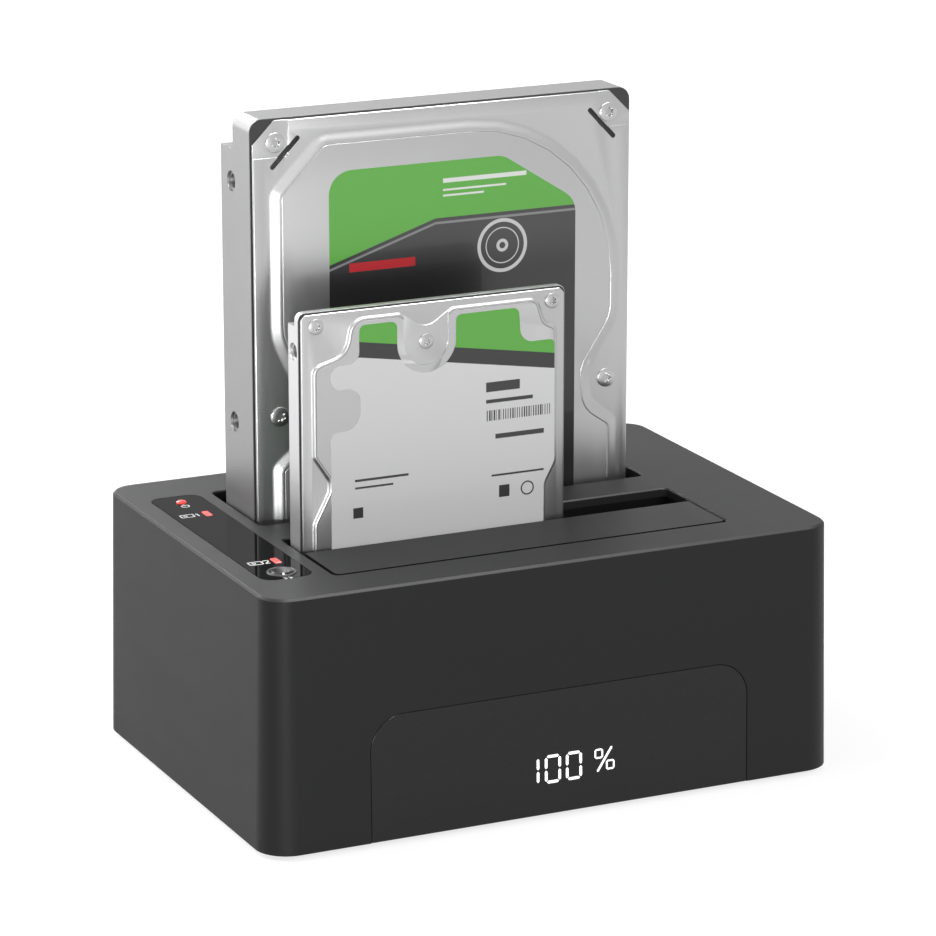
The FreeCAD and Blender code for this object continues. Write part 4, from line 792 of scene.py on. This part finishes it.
def capsule(name, start, end, radius, front, back):
    """A round-ended bar through a sheet, between two points of its face."""
    ahead = (Vector(end) - Vector(start)).normalized()
    side = Vector((-ahead.y, ahead.x))
    a, b = Vector(start) - ahead * radius, Vector(end) + ahead * radius
    corners = [a - side * radius, b - side * radius, b + side * radius, a + side * radius]
    outline = rounded([(c.x, c.y, radius * 0.98) for c in corners], 5)
    return slab(name, outline, front, back)


# in millimetres: the rim's thickness and the cut of its upper corners, then the platform's rise, the
# run of its slope and how far the slope starts inside the rim
LIDS = {"large": (LARGE_PLATFORM, 0.9, 5.6, 1.0, 3.0, 0.4),
        "small": (SMALL_PLATFORM, 0.6, 1.2, 0.5, 0.9, 0.3)}
LARGE_PADS = ([(-1.0, -1.0), (9.6, -1.0), (9.6, 9.4, 0.8), (-1.0, 9.4)],
              [(92.2, -1.0), (103.0, -1.0), (103.0, 9.4), (92.2, 9.4, 0.8)])
LARGE_SLOTS = ([(5.5, 11.7), (12.0, 5.1)], [(90.2, 5.0), (96.6, 11.8)])
SMALL_RECESS = [(26.9, 0.4), (38.5, 0.4), (38.5, 15.5, 5.6), (26.9, 15.5, 5.6)]


def pressed_lid(drive):
    """A flat rim with a raised platform, and the depth of the rim's face."""
    outline, *sizes = LIDS[drive]
    thickness, cut, rise, run, sunk = [size * MM for size in sizes]
    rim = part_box(drive + "_drive_cover")[0].y + rise
    lid = cut_corner_plate(drive, rim, thickness, cut)
    carve(lid, [raised(drive + "_platform", on_drive(drive, outline), rim, rise, run, sunk)], "UNION")
    return lid, rim


def make_large_lid():
    lid, rim = pressed_lid("large")
    carve(lid, [slab("pad", rounded(on_drive("large", corners), 4), rim - 3 * MM, rim + 0.3 * MM)
                for corners in LARGE_PADS])
    bevel_sharp(lid, bpy.context.scene.dock_lids.edge_round, 2, 40.0)
    carve(lid, [capsule("slot", *on_drive("large", ends), 0.62 * MM, rim - 3 * MM, rim + 2 * MM)
                for ends in LARGE_SLOTS])
    return lid


def make_small_lid():
    lid, rim = pressed_lid("small")
    carve(lid, [slab("recess", rounded(on_drive("small", SMALL_RECESS), 10), rim - 2 * MM, rim - 0.2 * MM)])
    bevel_sharp(lid, 0.1 * MM, 2, 40.0)
    return lid


class DOCK_OT_lids(bpy.types.Operator):
    """Press the two drive lids"""
    bl_idname = "dock.lids"
    bl_label = "Drive lids"

    def execute(self, context):
        for drive, make in (("large", make_large_lid), ("small", make_small_lid)):
            lid = make()
            smooth(lid, 32.0)
            dress(lid, drive + "_drive", "lid", "drive_lid", drive + "_drive_cover")
        return {"FINISHED"}


# ---------------------------------------------------------------- screws
def six_lobe(name, centre, radius, front, back):
    """A cutter with six round lobes."""
    points = []
    for step in range(36):
        angle = 2 * math.pi * step / 36
        reach = radius * (0.82 + 0.18 * math.cos(6 * angle))
        points.append(Vector((centre[0] + reach * math.cos(angle), centre[1] + reach * math.sin(angle))))
    return slab(name, points, front, back)


def domed_screw(name, radius, edge, height):
    """A button head facing the front: a disc raised ring by ring, with a six-lobed recess."""
    sizes = bpy.context.scene.dock_details
    settle()
    bpy.ops.mesh.primitive_circle_add(vertices=40, radius=radius, fill_type="NGON",
                                      rotation=(math.pi / 2, 0, 0))
    piece = bpy.context.active_object
    piece.name = name
    apply_place(piece)
    edit(piece, everything=True)
    push(along=-edge)
    draw_in(radius * 0.62, height, 6, lambda share: math.sin(share * math.pi / 2))
    settle()
    face_outwards(piece)
    bore = six_lobe("bore", (0, 0), radius * 0.55, -0.01, -(edge + height - sizes.screw_recess))
    carve(piece, [bore])
    bevel_sharp(piece, radius * 0.03, 1, 50.0)
    smooth(piece, 40.0)
    return piece


def set_screws(drive, spots, radius, face):
    """Copies of one screw at each spot, each turned its own way."""
    sizes = bpy.context.scene.dock_details
    master = domed_screw(drive + "_screw", radius, 0.28 * MM, sizes.screw_rise)
    heads = []
    for index, (across, down, level) in enumerate(spots):
        x, z = on_drive(drive, [(across, down)])[0]
        head = twin_of(master, "%s_screw_%d" % (drive, index))
        turn = Matrix.Rotation(FIRST_TURN + NEXT_TURN * index, 4, "Y")
        head.data.transform(Matrix.Translation((x, face + level * MM, z)) @ turn)
        heads.append(head)
    bpy.data.objects.remove(master, do_unlink=True)
    return joined(drive + "_cover_screws", heads)


class DOCK_OT_screws(bpy.types.Operator):
    """Fit the cover screws of both drives"""
    bl_idname = "dock.screws"
    bl_label = "Cover screws"

    def execute(self, context):
        for drive, spots, radius, rise in (("large", LARGE_SCREWS, 2.4 * MM, 1.0 * MM),
                                           ("small", SMALL_SCREWS, 1.85 * MM, 0.5 * MM)):
            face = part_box(drive + "_drive_cover")[0].y + rise
            heads = set_screws(drive, spots, radius, face)
            dress(heads, drive + "_drive", "steel", "steel", drive + "_drive_screws")
        return {"FINISHED"}


# ---------------------------------------------------------------- display
LEAN = 1.3 / 62.2  # how far the walls lean in, for each unit of height


def window_front(z):
    """Depth of the window's leaning front at a height."""
    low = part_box("front_window")[0]
    return low.y + (z - low.z) * LEAN


# the ends of a digit's bars: left or right as 0 or 1, then foot, middle or head as 0, 1 or 2
SEGMENTS = {"a": ((0, 2), (1, 2)), "b": ((1, 1), (1, 2)), "c": ((1, 0), (1, 1)),
            "d": ((0, 0), (1, 0)), "e": ((0, 0), (0, 1)), "f": ((0, 1), (0, 2))}
FIGURES = {"0": "abcdef", "1": "bc"}


def bar_outline(start, end, width):
    """Six corners of a bar with pointed ends."""
    ahead = (Vector(end) - Vector(start)).normalized()
    side = Vector((-ahead.y, ahead.x)) * width / 2
    a, b = Vector(start), Vector(end)
    tip = ahead * width / 2
    return [a, a + tip - side, b - tip - side, b, b - tip + side, a + tip + side]


def bar(name, start, end, width, thickness):
    """A pointed bar of a digit, standing off the window's leaning front."""
    piece = slab(name, bar_outline(start, end, width), -thickness, 0.0)
    for vertex in piece.data.vertices:
        vertex.co.y += window_front(vertex.co.z)
    return piece


def sides(left, low, right, high):
    """The four sides of a rectangle, as pairs of corners."""
    corners = [(left, low), (right, low), (right, high), (left, high)]
    return list(zip(corners, corners[1:] + corners[:1]))


def make_digit(figure, left, low, width, height, stroke, film):
    """A digit of pointed bars, with a small gap at the end of each."""
    inset, gap = stroke / 2, stroke * 0.28
    x = (left + inset, left + width - inset)
    z = (low + inset, low + height / 2, low + height - inset)
    bars = []
    for run in FIGURES[figure]:
        (x0, z0), (x1, z1) = SEGMENTS[run]
        across, up = gap * (x1 - x0), gap * (z1 - z0)
        bars.append(bar("segment", (x[x0] + across, z[z0] + up), (x[x1] - across, z[z1] - up), stroke, film))
    return bars


def make_percent(left, low, width, height, stroke, film):
    """A slashed sign with two small six-sided rings."""
    foot, head = (left + width * 0.14, low), (left + width * 0.86, low + height)
    parts = [bar("slash", foot, head, stroke * 0.8, film)]
    half_w, half_h = width * 0.17, height * 0.17
    for x, z in ((left + width * 0.22, low + height * 0.76), (left + width * 0.78, low + height * 0.24)):
        parts += [bar("ring", start, end, stroke * 0.62, film)
                  for start, end in sides(x - half_w, z - half_h, x + half_w, z + half_h)]
    return parts


class DOCK_OT_display(bpy.types.Operator):
    """Light the display's digits"""
    bl_idname = "dock.display"
    bl_label = "Display digits"

    def execute(self, context):
        sizes = context.scene.dock_details
        width, height, stroke, film = sizes.digit_width, sizes.digit_height, sizes.stroke, sizes.film
        low = 8.9 * MM
        parts = []
        for figure, left in (("1", -9.95), ("0", -4.2), ("0", 1.4)):
            parts += make_digit(figure, left * MM, low, width, height, stroke, film)
        parts += make_percent(9.0 * MM, 9.8 * MM, 5.5 * MM, 6.0 * MM, stroke, film)
        dress(joined("display_digits", parts), "dock", "digits", "display")
        return {"FINISHED"}


# ---------------------------------------------------------------- control strip
def on_strip(name, points, low, high):
    """A plate between two heights from the strip's upper face."""
    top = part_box("control_strip")[1].z
    piece = slab(name, points, -(top + high), -(top + low))
    piece.data.transform(Matrix.Rotation(-math.pi / 2, 4, "X"))
    return piece


def round_points(centre, radius, count=28):
    return [Vector((centre[0] + radius * math.cos(2 * math.pi * k / count),
                    centre[1] + radius * math.sin(2 * math.pi * k / count))) for k in range(count)]


def printed_ring(centre, radius, stroke, film):
    ring = on_strip("ring", round_points(centre, radius), 0.0, film)
    carve(ring, [on_strip("hole", round_points(centre, radius - stroke), -1 * MM, 1 * MM)])
    return ring


def printed_bars(runs, stroke, film):
    return [on_strip("stroke", bar_outline(start, end, stroke), 0.0, film) for start, end in runs]


NUMERALS = {"1": [(0.5, 0), (0.5, 1), (0.12, 0.74)],
            "2": [(1, 0), (0, 0), (1, 0.62), (1, 1), (0, 1), (0, 0.8)]}


def printed_numeral(figure, left, low, film):
    """A small numeral made of straight strokes."""
    w, h, stroke = 1.25 * MM, 2.2 * MM, 0.34 * MM
    spots = [(left + w * x, low + h * y) for x, y in NUMERALS[figure]]
    return printed_bars(list(zip(spots, spots[1:])), stroke, film)


def printed_disk(left, low, film):
    """A small drive mark: a frame with a hub in it."""
    w, h, stroke = 3.3 * MM, 2.2 * MM, 0.3 * MM
    parts = printed_bars(sides(left, low, left + w, low + h), stroke, film)
    return parts + [printed_ring((left + w * 0.36, low + h / 2), 0.55 * MM, 0.24 * MM, film)]


class DOCK_OT_strip(bpy.types.Operator):
    """Print the plain marks of the control strip"""
    bl_idname = "dock.strip"
    bl_label = "Strip marks"

    def execute(self, context):
        film = context.scene.dock_details.film
        parts = []
        for lamp, figure in (("source_lamp", "1"), ("target_lamp", "2")):
            low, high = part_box(lamp)
            middle = (low.y + high.y) / 2
            parts += printed_disk(low.x - 6.0 * MM, middle - 1.1 * MM, film)
            parts += printed_numeral(figure, low.x - 2.2 * MM, middle - 1.1 * MM, film)
        low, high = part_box("power_lamp")
        middle = (low + high) / 2
        reach = (high.x - low.x) / 2
        stem = high.z - low.z
        dome = [(reach * share, stem - drop * MM)
                for share, drop in ((1.0, 0.42), (0.92, 0.2), (0.7, 0.06), (0.35, 0.0))]
        lens = turned("power_lens", [(reach, 0.0)] + dome, (middle.x, middle.y, low.z), "+Z", 36)
        smooth(lens, 60.0)
        dress(lens, "dock", "lamp", "red_lamp", "power_lamp")
        x, y = middle.x - 0.2 * MM, low.y - 2.0 * MM
        parts.append(printed_ring((x, y), 1.1 * MM, 0.28 * MM, film))
        parts += printed_bars([((x, y + 0.1 * MM), (x, y + 1.6 * MM))], 0.34 * MM, film)
        low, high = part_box("button_ring")
        for shift in (-1.5, -0.2):
            x, y = (low.x + high.x) / 2 + shift * MM, low.y - 1.5 * MM
            tip = (x + 0.8 * MM, y)
            parts += printed_bars([((x, y - 0.6 * MM), tip), (tip, (x, y + 0.6 * MM))], 0.26 * MM, film)
        dress(joined("strip_marks", parts), "dock", "mark", "strip")
        return {"FINISHED"}


# ---------------------------------------------------------------- finishes of the frame's own nodes
class DOCK_OT_finishes(bpy.types.Operator):
    """Give every carried-over node its finish"""
    bl_idname = "dock.finishes"
    bl_label = "Finishes"

    def execute(self, context):
        for finish, nodes in FINISH_NODES.items():
            for node in nodes.split():
                paint(NODES[node], finish)
        return {"FINISHED"}


# ---------------------------------------------------------------- mouldings
def soften(piece, width, segments, low=-1.0, angle=25.0):
    """Round the sharp edges above a height, then even out the shading."""
    edit(piece, "EDGE")
    limit = math.radians(angle)

    def sharp(edge):
        if len(edge.link_faces) != 2:
            return False
        lowest = min(vertex.co.z for vertex in edge.verts)
        return lowest > low and edge.calc_face_angle(0.0) > limit

    if choose(piece, "edges", sharp):
        bpy.ops.mesh.bevel(offset=width, segments=segments, affect="EDGES", clamp_overlap=True,
                           loop_slide=False)
    settle()
    smooth(piece, 35.0)
    modify(piece, "WEIGHTED_NORMAL", keep_sharp=True, weight=60)


def lean_inside(shell):
    """Lean the inner faces in with the outer ones: their points move square to the wall."""
    low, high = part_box("upper_housing")
    corner, wall, near = 8.0 * MM, 2.2 * MM, 0.04 * MM
    core = (high.x - corner, high.y - corner)
    for vertex in shell.data.vertices:
        spot = vertex.co.copy()
        lean = LEAN * (spot.z - low.z)
        heart = Vector((max(-core[0], min(core[0], spot.x)), max(-core[1], min(core[1], spot.y)), spot.z))
        away = (spot - heart).length
        inner, outer = corner - wall + lean, corner - lean
        if abs(away - inner) < near < abs(away - outer):
            vertex.co = heart + (spot - heart) * ((inner - 2 * lean) / inner)


def slim_outline(piece, node, inset):
    """Draw the outline of a flat piece in by the same width on every side."""
    low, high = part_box(node)
    edit(piece, everything=True)
    shares = [1 - 2 * inset / (high[axis] - low[axis]) for axis in (0, 1)]
    centre = [(a + b) / 2 for a, b in zip(low, high)]
    bpy.ops.transform.resize(value=(shares[0], shares[1], 1.0), center_override=centre)
    settle()


UPRIGHT = 0.3  # a face with less than this much of its normal along Z is a side


def paint_shade_on_flap_sides(piece, finish):
    """The upright edges of a flap are painted near-black as painted shade, so that its gap shows as a dark
    line.
    """
    piece.data.materials.append(finish_of(finish))
    for face in piece.data.polygons:
        if abs(face.normal.z) < UPRIGHT:
            face.material_index = 1


class DOCK_OT_mouldings(bpy.types.Operator):
    """Round the edges of the housing, the flaps and the window"""
    bl_idname = "dock.mouldings"
    bl_label = "Mouldings"

    def execute(self, context):
        edge = context.scene.dock_details.soft_edge
        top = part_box("upper_housing")[1].z
        shell = whole_copy("upper_housing", "housing_shell")
        lean_inside(shell)
        soften(shell, edge * 1.3, 3, low=top - 0.9 * MM)
        dress(shell, "dock", "housing", "housing", "upper_housing")
        for end in ("front", "rear"):
            flap = whole_copy(end + "_flap", end + "_dust_flap")
            slim_outline(flap, end + "_flap", 0.4 * MM)
            soften(flap, edge, 2, angle=50.0)
            dress(flap, end + "_flap_body", "flap", "flap", end + "_flap")
            # the flap's upright sides take the near-black bay finish as painted shade in its gap
            paint_shade_on_flap_sides(flap, "bay")
        window = whole_copy("front_window", "smoked_window")
        soften(window, edge * 0.7, 2, angle=40.0)
        dress(window, "dock", "window", "window", "front_window")
        return {"FINISHED"}


# ---------------------------------------------------------------- castings and boards
FACINGS = {"+Y": -math.pi / 2, "+Z": 0.0}


def turned(name, profile, place, facing, segments):
    """A disc turned from (radius, rise) points, set at a place and facing a way."""
    settle()
    bpy.ops.mesh.primitive_circle_add(vertices=segments, radius=profile[0][0], fill_type="NGON")
    piece = bpy.context.active_object
    piece.name = name
    apply_place(piece)
    edit(piece, everything=True)
    bpy.ops.transform.translate(value=(0, 0, profile[0][1]))
    for (wide, low), (narrow, high) in zip(profile, profile[1:]):
        if abs(wide - narrow) < 1e-9:
            push(up=high - low)
        else:
            bpy.ops.mesh.inset(thickness=wide - narrow, depth=high - low)
    settle()
    turn = Matrix.Rotation(FACINGS[facing], 4, "X")
    piece.data.transform(Matrix.Translation(Vector(place)) @ turn)
    smooth(piece, 20.0)
    return piece


def chip(name, low, high):
    """A moulded package with softened edges."""
    piece = box(name, low, high)
    bevel_sharp(piece, 0.12 * MM, 2, 40.0)
    return piece


def pin_row(name, start, step, count, size):
    """Short legs beside a package: one, repeated by an array."""
    piece = box(name, start, [a + b for a, b in zip(start, size)])
    modify(piece, "ARRAY", count=count, use_relative_offset=False, use_constant_offset=True,
           constant_offset_displace=step)
    return piece


class DOCK_OT_castings(bpy.types.Operator):
    """Round the edges of the drive castings"""
    bl_idname = "dock.castings"
    bl_label = "Drive castings"

    def execute(self, context):
        edge = context.scene.dock_details.soft_edge
        for drive in ("large", "small"):
            body = whole_copy(drive + "_drive_base", drive + "_casting")
            soften(body, edge * (1.2 if drive == "large" else 0.7), 2, angle=40.0)
            # the large drive takes the darker copy of the casting metal, as painted shade
            finish = "dark casting" if drive == "large" else "casting"
            dress(body, drive + "_drive", finish, "casting", drive + "_drive_base")
        return {"FINISHED"}


# packages: shares across and up the board, then width and height in millimetres
CHIPS = ((0.16, 0.62, 14, 14), (0.62, 0.70, 9, 12), (0.66, 0.42, 7, 7), (0.20, 0.40, 11, 6),
         (0.86, 0.56, 5, 8), (0.42, 0.24, 6, 4), (0.80, 0.22, 4, 4))
# the motor hub's profile, as shares of its radius and of its rise
HUB = ((1.0, 0.0), (1.0, 0.4), (0.97, 0.6), (0.80, 0.6), (0.79, 1.0), (0.42, 1.0), (0.41, 0.3),
       (0.22, 0.3), (0.21, 0.8))


class DOCK_OT_boards(bpy.types.Operator):
    """Stand chips with their legs and a motor hub on the back of each drive"""
    bl_idname = "dock.boards"
    bl_label = "Drive boards"

    def execute(self, context):
        for drive, scale in (("large", 1.0), ("small", 0.66)):
            low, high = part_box(drive + "_drive_board")
            face = high.y
            rise = (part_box(drive + "_drive_base")[1].y - face) * 0.9
            body = drive + "_drive"
            chips, legs = [], []
            for index, (across, up, wide, tall) in enumerate(CHIPS):
                x, z = low.x + (high.x - low.x) * across, low.z + (high.z - low.z) * up
                w, h = wide * scale * MM, tall * scale * MM
                chips.append(chip("chip_%d" % index, (x, face, z), (x + w, face + rise, z + h)))
                legs.append(pin_row("legs_%d" % index, (x - 0.5 * MM, face, z + 0.5 * MM), (0, 0, 0.9 * MM),
                                    max(2, int(h / (0.9 * MM)) - 1), (w + 1.0 * MM, rise * 0.3, 0.4 * MM)))
            dress(joined(drive + "_board_chips", chips), body, "parts", "black_plastic")
            dress(joined(drive + "_board_legs", legs), body, "steel", "steel")
            x, z = (low.x + high.x) / 2, low.z + (high.z - low.z) * (0.66 if drive == "large" else 0.70)
            radius = 12.0 * scale * MM
            profile = [(radius * across, rise * out) for across, out in HUB]
            hub = turned(drive + "_motor_hub", profile, (x, face, z), "+Y", 56)
            dress(hub, body, "casting", "casting")
        return {"FINISHED"}


# ---------------------------------------------------------------- stage
def seen(web):
    """1 for rays that come straight from the camera or off metal and gloss."""
    path = web.node("LightPath")
    return web.either(path.outputs["Is Camera Ray"], path.outputs["Is Glossy Ray"],
                      path.outputs["Is Transmission Ray"])


def backdrop(name, strength):
    """Pale paper that shows white, and keeps the shadows that fall on it."""
    paper = Finish(name, (0.34, 0.34, 0.34), 0.9, Specular_IOR_Level=0.0, Emission_Color=(1, 1, 1, 1))
    reach = paper.node("VectorMath", operation="LENGTH")
    paper.feed(reach.inputs[0], paper.place())
    away = paper.above(reach.outputs["Value"], 0.45, 0.3)
    paper.set("Emission Strength", paper.times(seen(paper), paper.mix(away, strength, 1.0, "FLOAT")))
    return paper.material


# name: place, target, width, height, watts, the kind of ray that does not meet it
MIDDLE = (-0.02, 0, 0.05)
LAMPS = {
    "top_box": ((-0.45, 0.25, 0.85), (0, 0, 0.05), 0.9, 0.9, 5.8, None),
    "left_box": ((-0.45, 0.40, 0.30), (0, 0, 0.06), 0.45, 0.45, 2.9, None),
    "front_box": ((0.35, -1.2, 0.75), (0, 0, 0.08), 0.9, 0.5, 11.5, "visible_glossy"),
    "rim_sheen": ((0.15, -0.25, 0.95), MIDDLE, 0.8, 0.1, 28.0, "visible_diffuse"),
    "corner_sheen": ((-0.42, -0.85, 0.06), MIDDLE, 0.16, 0.1, 5.0, "visible_diffuse"),
    "back_sheen": ((-0.04, 1.05, 0.60), MIDDLE, 0.4, 0.2, 8.0, "visible_diffuse"),
}


CAMERA = {"place": (-0.4349, -0.9227, 0.3629), "sensor": 36.0, "lens": 166.06,
          "turn": (math.radians(90 - 15.87), 0.0, math.radians(-25.285))}


def light(name, place, target, width, height, power, unmet):
    """A rectangular lamp turned to a target."""
    settle()
    bpy.ops.object.light_add(type="AREA", location=place)
    lamp = bpy.context.active_object
    lamp.name = name
    lamp.data.shape = "RECTANGLE"
    lamp.data.size = width
    lamp.data.size_y = height
    lamp.data.energy = power
    aim = Vector(target) - Vector(place)
    lamp.rotation_euler = aim.to_track_quat("-Z", "Y").to_euler()
    if unmet:
        setattr(lamp, unmet, False)


class DOCK_OT_stage(bpy.types.Operator):
    """Lay the floor and set up the lamps, the world and the camera"""
    bl_idname = "dock.stage"
    bl_label = "Stage"

    def execute(self, context):
        settle()
        bpy.ops.mesh.primitive_plane_add(size=6.0, location=(0, 0, -0.0002))
        floor = context.active_object
        floor.name = "floor"
        floor.data.materials.append(backdrop("Pale floor", 0.76))
        apply_place(floor)
        world = bpy.data.worlds.new("Studio")
        context.scene.world = world
        world.use_nodes = True
        web = Web(world.node_tree)
        sky = web.tree.nodes["Background"]
        web.feed(sky.inputs["Color"], web.mix(seen(web), (0.36, 0.36, 0.36, 1.0), (1, 1, 1, 1)))
        for name, settings in LAMPS.items():
            light(name, *settings)
        bpy.ops.object.camera_add(location=CAMERA["place"], rotation=CAMERA["turn"])
        camera = context.active_object
        camera.name = "camera"
        camera.data.sensor_width = CAMERA["sensor"]
        camera.data.lens = CAMERA["lens"]
        camera.data.clip_start = 10 * MM
        context.scene.camera = camera
        context.scene.view_settings.view_transform = "Standard"
        settle()
        return {"FINISHED"}


# ---------------------------------------------------------------- panel and registration
OPERATORS = (DOCK_OT_stage, DOCK_OT_finishes, DOCK_OT_mouldings, DOCK_OT_lids, DOCK_OT_screws,
             DOCK_OT_display, DOCK_OT_strip, DOCK_OT_castings, DOCK_OT_boards)


class DOCK_PT_panel(bpy.types.Panel):
    """Everything that dresses the dock"""
    bl_label = "Drive duplicator"
    bl_idname = "DOCK_PT_panel"
    bl_space_type = "VIEW_3D"
    bl_region_type = "UI"
    bl_category = "Dock"

    def draw(self, context):
        for settings in (context.scene.dock_colours, context.scene.dock_lids, context.scene.dock_details):
            column = self.layout.column(align=True)
            for name in settings.bl_rna.properties.keys():
                if name not in ("rna_type", "name"):
                    column.prop(settings, name)
        for operator in OPERATORS:
            self.layout.operator(operator.bl_idname)


SETTINGS = {"dock_lids": LidSizes, "dock_details": DetailSizes, "dock_colours": FinishColours}
CLASSES = tuple(SETTINGS.values()) + OPERATORS + (DOCK_PT_panel,)


def register():
    for kind in CLASSES:
        bpy.utils.register_class(kind)
    for name, kind in SETTINGS.items():
        setattr(bpy.types.Scene, name, bpy.props.PointerProperty(type=kind))


def unregister():
    for name in SETTINGS:
        delattr(bpy.types.Scene, name)
    for kind in reversed(CLASSES):
        bpy.utils.unregister_class(kind)


def main():
    register()
    for operator in OPERATORS:
        group_name, call = operator.bl_idname.split(".")
        getattr(getattr(bpy.ops, group_name), call)()


if __name__ == "__main__":
    main()
